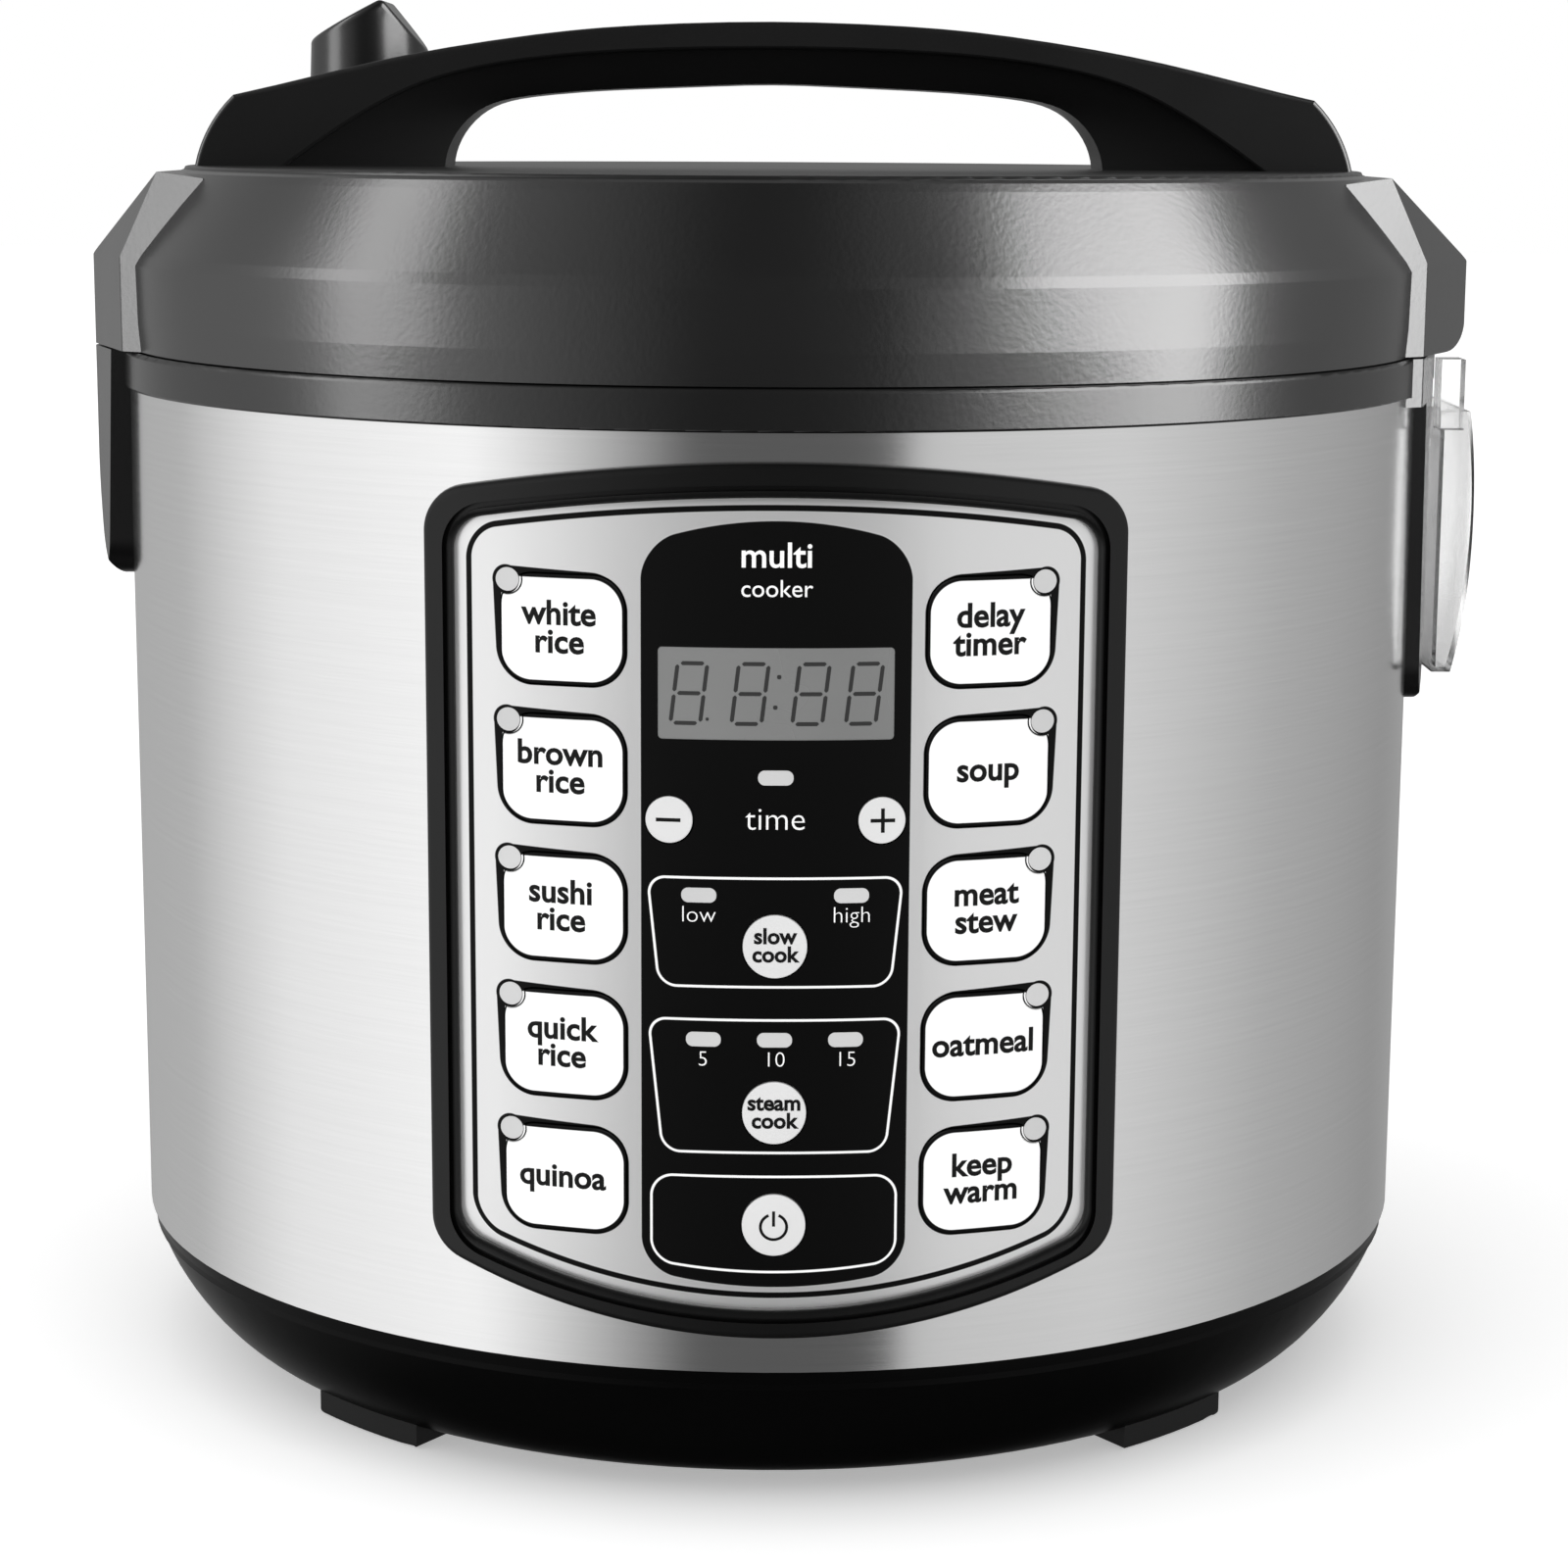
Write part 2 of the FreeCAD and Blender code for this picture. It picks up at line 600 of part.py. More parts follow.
def key_places():
    """Name, arc length, height and side of each rectangular key."""
    places = []
    for side, sign in (("left", -1), ("right", 1)):
        for row in range(KEY_ROWS):
            places.append((f"key_{side}_{row + 1}", sign * KEY_COLUMN_S, KEY_TOP_Z - row * KEY_PITCH_Z))
    return places


def led_dot_places():
    dots = []
    for name, s, z in key_places():
        dots.append((math.copysign(LED_COLUMN_S, s), z + LED_ABOVE_KEY))
    return dots


def make_control_bezel():
    plug = panel_edge(WINDOW_MARGIN - FRAME_FIT).cut(panel_edge())
    plug = plug.common(front_band(BEZEL_BACK_R, BEZEL_PROUD_R))
    frame = bezel_outer().cut(panel_edge()).common(front_band(DRUM_R, BEZEL_PROUD_R))
    lip = []
    for edge in frame.Edges:
        middle = edge.valueAt(sum(edge.ParameterRange) / 2)
        reach = [math.hypot(v.X, v.Y) for v in edge.Vertexes] + [math.hypot(middle.x, middle.y)]
        if min(reach) > BEZEL_PROUD_R - 0.01:
            lip.append(edge)
    frame = frame.makeFillet(1.3, lip)
    grow = GROOVE_HALF - PANEL_HALF
    groove = panel_edge(grow).cut(panel_edge(grow - GROOVE_W))
    frame = frame.cut(groove.common(front_band(BEZEL_PROUD_R - GROOVE_DEPTH, BEZEL_PROUD_R + 5)))
    return frame.fuse(plug.common(front_band(BEZEL_BACK_R, DRUM_R + 0.5))).removeSplitter()


def key_openings():
    """Blocks that clear every key, lamp and the display in the panel sheet."""
    blocks = [key_block(s, z, KEY_GAP) for name, s, z in key_places()]
    blocks += [round_block(s, z, r + KEY_GAP) for s, z, r in ROUND_KEYS.values()]
    blocks += lamp_blocks()
    blocks.append(lcd_block())
    return blocks


def lamp_blocks():
    blocks = [round_block(s, z, LED_R) for s, z in led_dot_places()]
    blocks += [rounded_block(s, z, LED_BAR_W, LED_BAR_H, 1.3) for s, z in LED_BARS]
    return blocks


def lcd_block():
    mid = (LCD_LOW_Z + LCD_HIGH_Z) / 2
    return rounded_block(0, mid, 2 * LCD_HALF_W, LCD_HIGH_Z - LCD_LOW_Z, 0.8)


def make_control_panel():
    sheet = panel_edge().common(front_band(PANEL_R - PANEL_T, PANEL_R))
    for block in key_openings():
        sheet = sheet.cut(block)
    return sheet


def make_display_lens():
    return lcd_block().common(ring(PANEL_R - PANEL_T, PANEL_R - 0.1, LCD_LOW_Z - 5, LCD_HIGH_Z + 5))


def make_led_lenses():
    band = front_band(PANEL_R - PANEL_T, PANEL_R + 0.15)
    return Part.makeCompound([block.common(band) for block in lamp_blocks()])


def make_display_module():
    body = box(-25, 25, 2.0 - DRUM_R, BOARD_FRONT_Y, LCD_LOW_Z - 2, LCD_HIGH_Z + 2)
    return body.common(Part.makeCylinder(PANEL_R - PANEL_T, 200, V(0, 0, 30)))


def make_control_board():
    board = box(-BOARD_HALF, BOARD_HALF, BOARD_FRONT_Y, BOARD_FRONT_Y + BOARD_T, 52, 192)
    chip = box(-9, 9, BOARD_FRONT_Y + BOARD_T, BOARD_FRONT_Y + BOARD_T + 2.2, 104, 122)
    return board.fuse(chip)


def all_keys():
    """Every key as name, arc length, height."""
    return key_places() + [(name, s, z) for name, (s, z, r) in ROUND_KEYS.items()]


def make_key_switches():
    switches = []
    for name, s, z in all_keys():
        tip = on_drum(KEY_FACE_R - KEY_T - KEY_STEM_LEN - SWITCH_GAP, s, z)
        x = tip.x
        half = SWITCH_HALF
        switches.append(box(x - half, x + half, tip.y + 0.6, BOARD_FRONT_Y, z - half, z + half))
    return Part.makeCompound(switches)


def make_key(s, z, block):
    cap = block.common(front_band(KEY_FACE_R - KEY_T, KEY_FACE_R))
    face_edges = []
    for edge in cap.Edges:
        middle = edge.valueAt(sum(edge.ParameterRange) / 2)
        ends = [math.hypot(v.X, v.Y) for v in edge.Vertexes]
        if min(ends + [math.hypot(middle.x, middle.y)]) > KEY_FACE_R - 0.01:
            face_edges.append(edge)
    cap = cap.makeFillet(0.25, face_edges)
    stem = rod(STEM_R, on_drum(KEY_FACE_R - KEY_T - KEY_STEM_LEN, s, z), on_drum(KEY_FACE_R - 0.5, s, z))
    return cap.fuse(stem)


# ======================================================================================
# Side lugs, hinge and latch. Each lug is drawn on the +X side and mirrored for the left.
# ======================================================================================
def mirrored(shape):
    return shape.mirror(V(0, 0, 0), ALONG_X)


def lug_plan(out_x, inset, z0, z1):
    """Plan of a lug: a flat outer face, a slanting face on each side, then a turned-back facet."""
    half = LUG_HALF - inset
    corner_x = LUG_CORNER_X - inset / 2
    root_half = half + (corner_x - LUG_ROOT_X) * LUG_FACET_SLOPE
    points = [
        (LUG_ROOT_X, -root_half), (corner_x, -half), (out_x - inset, -LUG_FACE_HALF),
        (out_x - inset, LUG_FACE_HALF), (corner_x, half), (LUG_ROOT_X, root_half),
    ]
    solid = plan_prism(points, z0, z1)
    corners = [e for e in edges_along(solid, UP) if e.BoundBox.XMin > LUG_ROOT_X + 5]
    return solid.makeFillet(LUG_EDGE_R, corners)


def corner_folds(out_x, inset):
    """Blocks over the two slanting faces, which lean inward above the shoulder."""
    blocks = []
    reach = 80.0
    for sign in (-1, 1):
        corner = V(LUG_CORNER_X, sign * LUG_HALF, LUG_SHOULDER_Z)
        bend = V(out_x, sign * LUG_FACE_HALF, LUG_SHOULDER_Z)
        peak_y = sign * (LUG_HALF + LUG_PEAK_IN * LUG_FACET_SLOPE)
        peak = V(LUG_CORNER_X - LUG_PEAK_IN, peak_y, LUG_SHOULDER_Z + LUG_PEAK_UP)
        along = (bend - corner).normalize()
        climb = (peak - corner).normalize()
        out = (along.cross(climb) * -sign).normalize()
        middle = corner - out * inset
        sheet = [middle + (along * a + climb * c) * reach for a, c in ((-1, -1), (1, -1), (1, 1), (-1, 1))]
        blocks.append(face_of(sheet).extrude(out * reach))
    return blocks[0].fuse(blocks[1])


def hinge_elevation(inset):
    """Side outline of the hinge lug with its lower corner round the hinge axis."""
    y = -LUG_HALF - LUG_CORNER_X
    root = LUG_ROOT_X + 1
    out = HINGE_OUT_X - inset
    corner_r = HINGE_OUT_X - HINGE_X - inset
    low = HINGE_Z - corner_r if inset == 0 else HINGE_Z - 20
    top_in = V(root, y, LID_RIM_Z - 1.5 - inset)
    slope_top = V(LUG_SLOPE_X - inset, y, LID_RIM_Z - inset * 0.5 - 0.3)
    shoulder = V(out, y, LUG_SHOULDER_Z - inset * 0.4)
    level = V(out, y, HINGE_Z)
    edges = [
        Part.makeLine(V(root, y, low), top_in), Part.makeLine(top_in, slope_top),
        Part.makeLine(slope_top, shoulder), Part.makeLine(shoulder, level),
    ]
    if inset == 0:
        half = math.sqrt(0.5) * corner_r
        bend = Part.Arc(level, V(HINGE_X + half, y, HINGE_Z - half), V(HINGE_X, y, low))
        edges += [bend.toShape(), Part.makeLine(V(HINGE_X, y, low), V(root, y, low))]
    else:
        edges += [Part.makeLine(level, V(out, y, low)), Part.makeLine(V(out, y, low), V(root, y, low))]
    return Part.Face(Part.Wire(edges)).extrude(V(0, -2 * y, 0))


def hinge_lug(inset):
    lug = lug_plan(HINGE_OUT_X, inset, LUG_LOW_Z, LUG_HIGH_Z).common(hinge_elevation(inset))
    return lug.cut(corner_folds(HINGE_OUT_X, inset))


def latch_lug(inset):
    low = RING_TOP_Z + LID_SEAM if inset == 0 else LUG_LOW_Z
    root = LUG_ROOT_X + 1
    half = LUG_HALF + LUG_CORNER_X
    side = elevation_prism([
        (root, low), (LATCH_OUT_X - inset, low), (LATCH_OUT_X - inset, LUG_SHOULDER_Z - inset * 0.4),
        (LUG_SLOPE_X - inset, LID_RIM_Z - inset * 0.5 - 0.3), (root, LID_RIM_Z - 1.5 - inset),
    ], -half, half)
    lug = lug_plan(LATCH_OUT_X, inset, LUG_LOW_Z, LUG_HIGH_Z).common(side)
    return mirrored(lug.cut(corner_folds(LATCH_OUT_X, inset)))


def lid_profile(inset, floor_z):
    """Solid lid body; the inset version is the hollow inside it."""
    wall_r = DRUM_R - 0.4 - inset
    rim_in = LID_RIM_R - inset
    top = LID_RIM_Z - inset
    crease = LID_CREASE_Z - inset * 0.2
    return turned([
        (0, floor_z), (wall_r, floor_z), (wall_r + 0.4, floor_z + 6), (wall_r + 0.6, crease - 1.5),
        (wall_r - 0.4, crease + 0.6), (rim_in + 1.8, top - 2.2), (rim_in + 0.8, top - 0.7),
        (rim_in - 0.8, top), (0, top),
    ])


def make_lid_shell():
    floor_z = RING_TOP_Z + LID_SEAM
    shell = lid_profile(0, floor_z).fuse(hinge_lug(0)).fuse(latch_lug(0))
    shoulders = []
    for edge in shell.Edges:
        b = edge.BoundBox
        level = abs(b.ZMin - LUG_SHOULDER_Z) < 0.3 and abs(b.ZMax - LUG_SHOULDER_Z) < 0.3
        if level and min(abs(b.XMin), abs(b.XMax)) > DRUM_R + 4 and b.YLength > 10:
            shoulders.append(edge)
    shell = shell.makeFillet(LUG_EDGE_R, shoulders)
    drum_side = Part.makeCylinder(DRUM_R + 0.3, 80, V(0, 0, LUG_LOW_Z))
    shell = shell.cut(hinge_lug(WALL).cut(drum_side)).cut(latch_lug(WALL).cut(drum_side))
    shell = shell.cut(lid_profile(LID_WALL, floor_z + LINER_T))
    shell = shell.cut(Part.makeCylinder(LINER_R, 10, V(0, 0, floor_z - 5)))
    plate_seat = Part.makeCylinder(TOP_PLATE_R + 0.15, 5, V(0, 0, LID_RIM_Z - 1.0))
    shell = shell.cut(plate_seat)
    shell = shell.cut(Part.makeCylinder(VENT_TUBE_R + 0.5, 20, V(VENT_X, VENT_Y, LID_RIM_Z - 11.5)))
    for x, y in HANDLE_SCREW_XY:
        shell = shell.cut(Part.makeCylinder(SCREW_R + 0.1, 20, V(x, y, LID_RIM_Z - 11.5)))
    web = box(DRUM_R - 1.5, HINGE_X + 2.2, -BARREL_HALF, BARREL_HALF, HINGE_Z, LID_CREASE_Z + 3.5)
    web = web.common(hinge_lug(WALL / 2))
    barrel = rod(BARREL_R, V(HINGE_X, -BARREL_HALF, HINGE_Z), V(HINGE_X, BARREL_HALF, HINGE_Z))
    shell = shell.fuse(web.fuse(barrel))
    bore_end = V(HINGE_X, HINGE_PIN_HALF + 1, HINGE_Z)
    shell = shell.cut(rod(HINGE_PIN_R + PIN_RUNNING, V(HINGE_X, -bore_end.y, HINGE_Z), bore_end))
    slot_top = HINGE_Z + max(EAR_R, HINGE_X - EAR_FOOT_IN_X) + EAR_SLOT_GAP
    for y0, y1 in ((EAR_IN_Y, EAR_OUT_Y), (-EAR_OUT_Y, -EAR_IN_Y)):
        shell = shell.cut(box(DRUM_R + 0.3, HINGE_OUT_X + 5, y0 - EAR_SLOT_GAP, y1 + EAR_SLOT_GAP,
                              RING_TOP_Z - 4, slot_top))
    return shell.cut(latch_gap()).removeSplitter()


def make_hinge_base():
    block = lug_plan(HINGE_BACK_X, 0, HINGE_BASE_Z, RING_TOP_Z)
    block = block.cut(Part.makeCylinder(DRUM_R + RING_PROUD, 20, V(0, 0, DRUM_TOP_Z)))
    block = block.cut(Part.makeCylinder(DRUM_R, 20, V(0, 0, LUG_LOW_Z)))
    for y0, y1 in ((EAR_IN_Y, EAR_OUT_Y), (-EAR_OUT_Y, -EAR_IN_Y)):
        root = box(EAR_FOOT_IN_X, HINGE_X + 0.1, y0, y1, RING_TOP_Z - 6, HINGE_Z)
        eye = rod(EAR_R, V(HINGE_X, y0, HINGE_Z), V(HINGE_X, y1, HINGE_Z))
        block = block.fuse(root).fuse(eye)
    return block.cut(rod(HINGE_PIN_R, V(HINGE_X, -50, HINGE_Z), V(HINGE_X, 50, HINGE_Z))).removeSplitter()


def make_hinge_pin():
    pin = rod(HINGE_PIN_R, V(HINGE_X, -HINGE_PIN_HALF, HINGE_Z), V(HINGE_X, HINGE_PIN_HALF, HINGE_Z))
    return pin.makeChamfer(0.4, [e for e in pin.Edges if isinstance(e.Curve, Part.Circle)])


def shield(half_top, half_low, z0, z1, x1, corner):
    """Side cover block with a tapering, rounded outline, grown from inside the drum."""
    points = [(-half_low, z0), (half_low, z0), (half_top, z1), (-half_top, z1)]
    solid = side_prism(points, DRUM_R - 15, x1)
    low = [e for e in edges_along(solid, ALONG_X) if e.BoundBox.ZMax < z0 + 1]
    return solid.makeFillet(corner, low)


def cover_profile(face, inset, y0, y1):
    """Block whose outer side follows (x, z) points from the lower tip upward."""
    points = [V(x - inset, y0, z) for x, z in face]
    low_in = V(DRUM_R - 20, y0, points[0].z)
    high_in = V(DRUM_R - 20, y0, points[-1].z)
    outline = Part.Wire([
        spline_edge(points), Part.makeLine(points[-1], high_in), Part.makeLine(high_in, low_in),
        Part.makeLine(low_in, points[0]),
    ])
    return Part.Face(outline).extrude(V(0, y1 - y0, 0))


def side_cover(face, half_top, half_low):
    """Hollow cover under a lug, following the lug's plan and its own side profile."""
    z0 = face[0][1]
    z1 = face[-1][1]
    out_x = max(x for x, z in face)
    reach = half_top + 5
    outer = shield(half_top, half_low, z0, z1, out_x + 1, 10.0)
    outer = outer.common(lug_plan(out_x, 0, z0, z1))
    outer = outer.common(cover_profile(face, 0, -reach, reach))
    inner = shield(half_top - WALL, half_low - WALL, z0 + WALL, z1 - WALL, out_x + 1, 8.0)
    inner = inner.common(lug_plan(out_x, WALL, z0, z1))
    inner = inner.common(cover_profile(face, WALL, -reach, reach))
    return outer.cut(inner).cut(Part.makeCylinder(DRUM_R, 120, V(0, 0, DRUM_TOP_Z - 91)))


def cup_tabs(grow):
    tabs = None
    for y in CUP_TABS_Y:
        half = CUP_TAB_HALF + grow
        tab = box(CUP_BACK_X - CUP_TAB_DEPTH - grow, CUP_BACK_X + 1, y - half, y + half,
                  CUP_TAB_Z - grow, CUP_TAB_Z + CUP_TAB_T + grow)
        tabs = tab if tabs is None else tabs.fuse(tab)
    return tabs


def make_hinge_tongue():
    cover = side_cover(HINGE_FACE, TONGUE_HALF_TOP, TONGUE_HALF_LOW)
    return cover.cut(cup_tabs(MOVING_GAP))


def button_block(grow, x0, x1):
    half = BUTTON_HALF + grow
    block = box(x0, x1, -half, half, BUTTON_LOW_Z - grow, BUTTON_HIGH_Z + grow)
    return block.makeFillet(4.0 + grow, edges_along(block, ALONG_X))


def make_latch_housing():
    cover = side_cover(LATCH_FACE, TONGUE_HALF_TOP, TONGUE_HALF_LOW)
    ring_room = Part.makeCylinder(DRUM_R + RING_PROUD, 20, V(0, 0, DRUM_TOP_Z))
    cover = mirrored(cover.cut(ring_room))
    slot_half = HOOK_HALF + MOVING_GAP
    slot = box(NOSE_X - MOVING_GAP, HOOK_BACK_X, -slot_half, slot_half, LUG_LOW_Z, RING_TOP_Z + 6)
    return cover.cut(button_block(MOVING_GAP, -LATCH_OUT_X - 5, BUTTON_BACK_X + 2.4)).cut(slot)


def make_release_button():
    face_x = -LATCH_OUT_X - BUTTON_PROUD
    cap = button_block(0, face_x, BUTTON_BACK_X)
    rim = [e for e in cap.Edges if e.BoundBox.XMax < face_x + 0.01]
    cap = cap.makeFillet(0.8, rim)
    half = BUTTON_HALF - 3
    low = BUTTON_LOW_Z + 3
    high = BUTTON_HIGH_Z - 3
    return cap.cut(box(face_x + BUTTON_SKIN, BUTTON_BACK_X + 1, -half, half, low, high))


def make_latch_hook():
    post = box(HOOK_FRONT_X, HOOK_BACK_X, -HOOK_HALF, HOOK_HALF, BUTTON_LOW_Z + 4, HOOK_TOP_Z)
    nose = elevation_prism([
        (HOOK_FRONT_X, NOSE_Z), (NOSE_X, NOSE_Z), (NOSE_X, NOSE_Z + 1.4), (HOOK_FRONT_X, HOOK_TOP_Z),
    ], -HOOK_HALF, HOOK_HALF)
    arm_x = -LATCH_OUT_X - BUTTON_PROUD + BUTTON_SKIN
    arm = box(arm_x, HOOK_FRONT_X, -HOOK_HALF + 1, HOOK_HALF - 1, BUTTON_LOW_Z + 6, BUTTON_LOW_Z + 12)
    return post.fuse(nose).fuse(arm).removeSplitter()


def make_lid_keeper():
    plate_x = -LATCH_OUT_X + WALL
    bar = box(plate_x, NOSE_X - MOVING_GAP, -8, 8, RING_TOP_Z + 1.4, NOSE_Z - 0.4)
    back = box(plate_x, plate_x + 1.2, -8, 8, RING_TOP_Z + 1.4, LID_CREASE_Z - 4.5)
    return bar.fuse(back).removeSplitter()


# ======================================================================================
# Lid fittings
# ======================================================================================
def both_sides(half):
    """Mirror a left-to-centre list of points into a full left-to-right list."""
    return list(half) + [(-x, z) for x, z in reversed(half[:-1])]


def handle_outline(y, lower):
    crown = [V(x, y, LID_RIM_Z + up) for x, up in both_sides(HANDLE_CROWN)]
    under = [V(x, y, LID_RIM_Z + up) for x, up in reversed(both_sides(lower))]
    left = V(-HANDLE_END_X, y, HANDLE_FOOT_Z)
    right = V(HANDLE_END_X, y, HANDLE_FOOT_Z)
    chord = right - crown[-1]
    bulge = V(-chord.z, 0, chord.x) * (HANDLE_END_BULGE / chord.Length)
    middle = (right + crown[-1]) * 0.5 + bulge
    left_end = Part.Arc(left, V(-middle.x, y, middle.z), crown[0]).toShape()
    right_end = Part.Arc(crown[-1], middle, right).toShape()
    return Part.Wire([
        spline_edge(crown), right_end, Part.makeLine(right, under[0]), spline_edge(under),
        Part.makeLine(under[-1], left), left_end,
    ])


def make_carry_handle():
    core_face = Part.Face(handle_outline(-HANDLE_CORE_HALF_Y, HANDLE_GAP))
    solid = core_face.extrude(V(0, 2 * HANDLE_CORE_HALF_Y, 0))
    for sign in (-1, 1):
        wires = [
            handle_outline(sign * HANDLE_CORE_HALF_Y, HANDLE_GAP),
            handle_outline(sign * (HANDLE_HALF_Y - 2), HANDLE_BROW),
        ]
        solid = solid.fuse(Part.makeLoft(wires, True, True))
        lip_face = Part.Face(handle_outline(sign * (HANDLE_HALF_Y - 2), HANDLE_BROW))
        lip = lip_face.extrude(V(0, sign * 2, 0))
        solid = solid.fuse(lip)
    solid = solid.removeSplitter()
    rim_edges = []
    brow_edges = []
    for edge in solid.Edges:
        b = edge.BoundBox
        front = abs(abs(b.YMin) - HANDLE_HALF_Y) < 0.01 and b.YLength < 0.01
        if front and b.ZLength > 1 and b.ZMin < HANDLE_FOOT_Z + 5 and b.XLength > 30:
            brow_edges.append(edge)
        elif front and b.ZLength > 1:
            rim_edges.append(edge)
    solid = solid.makeFillet(HANDLE_EDGE, rim_edges).makeFillet(HANDLE_BROW_EDGE, brow_edges)
    for x, y in HANDLE_SCREW_XY:
        solid = solid.cut(Part.makeCylinder(SCREW_R, 8, V(x, y, HANDLE_FOOT_Z)))
    return solid


def make_handle_screws():
    screws = []
    under = LID_RIM_Z - LID_WALL
    for x, y in HANDLE_SCREW_XY:
        head = Part.makeCylinder(SCREW_HEAD_R, SCREW_HEAD_H, V(x, y, under - SCREW_HEAD_H))
        screws.append(head.fuse(Part.makeCylinder(SCREW_R, HANDLE_FOOT_Z + 8 - under, V(x, y, under))))
    return Part.makeCompound(screws)


def make_lid_top_plate():
    low = LID_RIM_Z - 1.0
    plate = Part.makeCylinder(TOP_PLATE_R, TOP_PLATE_T, V(0, 0, low))
    plate = plate.makeFillet(0.6, [e for e in plate.Edges if e.BoundBox.ZMin > low + TOP_PLATE_T - 0.01])
    plate = plate.cut(Part.makeCylinder(VENT_TUBE_R + 0.5, 5, V(VENT_X, VENT_Y, low - 1)))
    for x, y in HANDLE_SCREW_XY:
        plate = plate.cut(Part.makeCylinder(SCREW_R + 0.1, 5, V(x, y, low - 1)))
    return plate


def make_lid_liner():
    low = RING_TOP_Z + LID_SEAM
    disc = Part.makeCylinder(LINER_R - 0.1, LINER_T, V(0, 0, low))
    return disc.cut(Part.makeCylinder(VENT_TUBE_R + 0.5, 10, V(VENT_X, VENT_Y, low - 4)))


def make_vent_seat():
    low = RING_TOP_Z + LID_SEAM
    top = HANDLE_FOOT_Z
    tube = Part.makeCylinder(VENT_TUBE_R, top + 4 - low, V(VENT_X, VENT_Y, low))
    collar = Part.makeCylinder(VENT_TUBE_R + 3, 1.2, V(VENT_X, VENT_Y, top))
    return tube.fuse(collar).cut(Part.makeCylinder(VENT_TUBE_R - 1.4, 80, V(VENT_X, VENT_Y, low - 1)))


def make_inner_lid_plate():
    top = RING_TOP_Z + LID_SEAM - 0.8
    disc = Part.makeCylinder(GASKET_R_IN + 2, INNER_PLATE_T, V(0, 0, top - INNER_PLATE_T))
    rib = ring(60, 61.2, top - INNER_PLATE_T - 1.5, top - INNER_PLATE_T + 0.1)
    disc = disc.fuse(rib)
    for angle in range(0, 360, 30):
        hole = at_angle(86, angle, top - 3)
        disc = disc.cut(rod(VENT_HOLE_R / 2, hole, hole + UP * 5))
    disc = disc.cut(Part.makeCylinder(4.2, 10, V(0, 0, top - 6)))
    return disc.cut(Part.makeCylinder(VENT_HOLE_R, 10, V(VENT_X, VENT_Y, top - 6)))


def make_lid_gasket():
    top = RING_TOP_Z + LID_SEAM
    plate_top = top - 0.8
    low = SEAT_Z + POT_T + MOVING_GAP
    groove_low = plate_top - INNER_PLATE_T
    return turned([
        (GASKET_R_IN, low + 0.6), (GASKET_R_IN + 1.2, low), (GASKET_R_OUT - 1.2, low),
        (GASKET_R_OUT, low + 0.8),
        (GASKET_R_OUT, top), (GASKET_R_IN, top), (GASKET_R_IN, plate_top), (GASKET_R_IN + 2, plate_top),
        (GASKET_R_IN + 2, groove_low), (GASKET_R_IN, groove_low),
    ])


def make_inner_lid_grommet():
    top = RING_TOP_Z + LID_SEAM
    plate_top = top - 0.8
    return turned([
        (0, plate_top - 4), (7, plate_top - 4), (8, plate_top - 3), (8, plate_top - INNER_PLATE_T),
        (4.2, plate_top - INNER_PLATE_T), (4.2, plate_top), (8, plate_top), (8, top), (0, top),
    ])


def make_vent_cap():
    base = HANDLE_FOOT_Z + 1.2 + MOVING_GAP
    stack = Part.makeCone(VENT_R, VENT_R - 1.6, VENT_TOP_Z + 4 - base, V(VENT_X, VENT_Y, base))
    far = 30.0
    climb = (VENT_TOP_Z - VENT_LOW_Z) / (VENT_PEAK_X - VENT_X + 12.5)
    above = elevation_prism([
        (VENT_PEAK_X - far, VENT_TOP_Z - far * climb), (VENT_PEAK_X - far, VENT_TOP_Z + far),
        (VENT_PEAK_X + far, VENT_TOP_Z + far),
        (VENT_PEAK_X + far, VENT_TOP_Z - far * VENT_FALL), (VENT_PEAK_X, VENT_TOP_Z),
    ], VENT_Y - far, VENT_Y + far)
    cap = stack.cut(above)
    top_edges = [e for e in cap.Edges if e.BoundBox.ZMin > base + 10]
    cap = cap.makeFillet(1.6, top_edges)
    hollow = Part.makeCone(VENT_R - 2, VENT_R - 3.4, 18, V(VENT_X, VENT_Y, base))
    cap = cap.cut(hollow)
    slot_half = 1.4
    for shift in (-6.0, -2.0, 2.0, 6.0):
        y = VENT_Y + shift
        low_y = y - slot_half / 2
        cap = cap.cut(box(VENT_X - 9, VENT_X + 0.5, low_y, low_y + slot_half, base + 12, VENT_TOP_Z + 6))
    return cap


# ======================================================================================
# Condensation cup, power inlet and boards
# ======================================================================================
def cup_solid(inset):
    """Cup body between its back plate and bulging face; the inset version is its inside."""
    y = -CUP_HALF - 1
    low = CUP_LOW_Z + inset
    high = CUP_TOP_Z if inset == 0 else CUP_TOP_Z + 1
    foot = V(CUP_FOOT_X - inset, y, low)
    mouth = V(CUP_MOUTH_X - inset, y, high)
    face = Part.Arc(foot, V(CUP_BELLY_X - inset, y, CUP_BELLY_Z), mouth).toShape()
    back_low = V(CUP_BACK_X + inset, y, low)
    back_high = V(CUP_BACK_X + inset, y, high)
    corners = [mouth, back_high, back_low, foot]
    outline = Part.Wire([face] + [Part.makeLine(a, b) for a, b in zip(corners, corners[1:])])
    solid = Part.Face(outline).extrude(V(0, 2 * CUP_HALF + 2, 0))
    trim = box(CUP_BACK_X + inset, CUP_BELLY_X + 1 - inset, -CUP_HALF + inset, CUP_HALF - inset,
               CUP_LOW_Z - 5, CUP_TOP_Z + 5)
    outer = [e for e in edges_along(trim, UP) if e.BoundBox.XMin > CUP_BACK_X + 5]
    return solid.common(trim.makeFillet(CUP_CORNER - inset, outer))


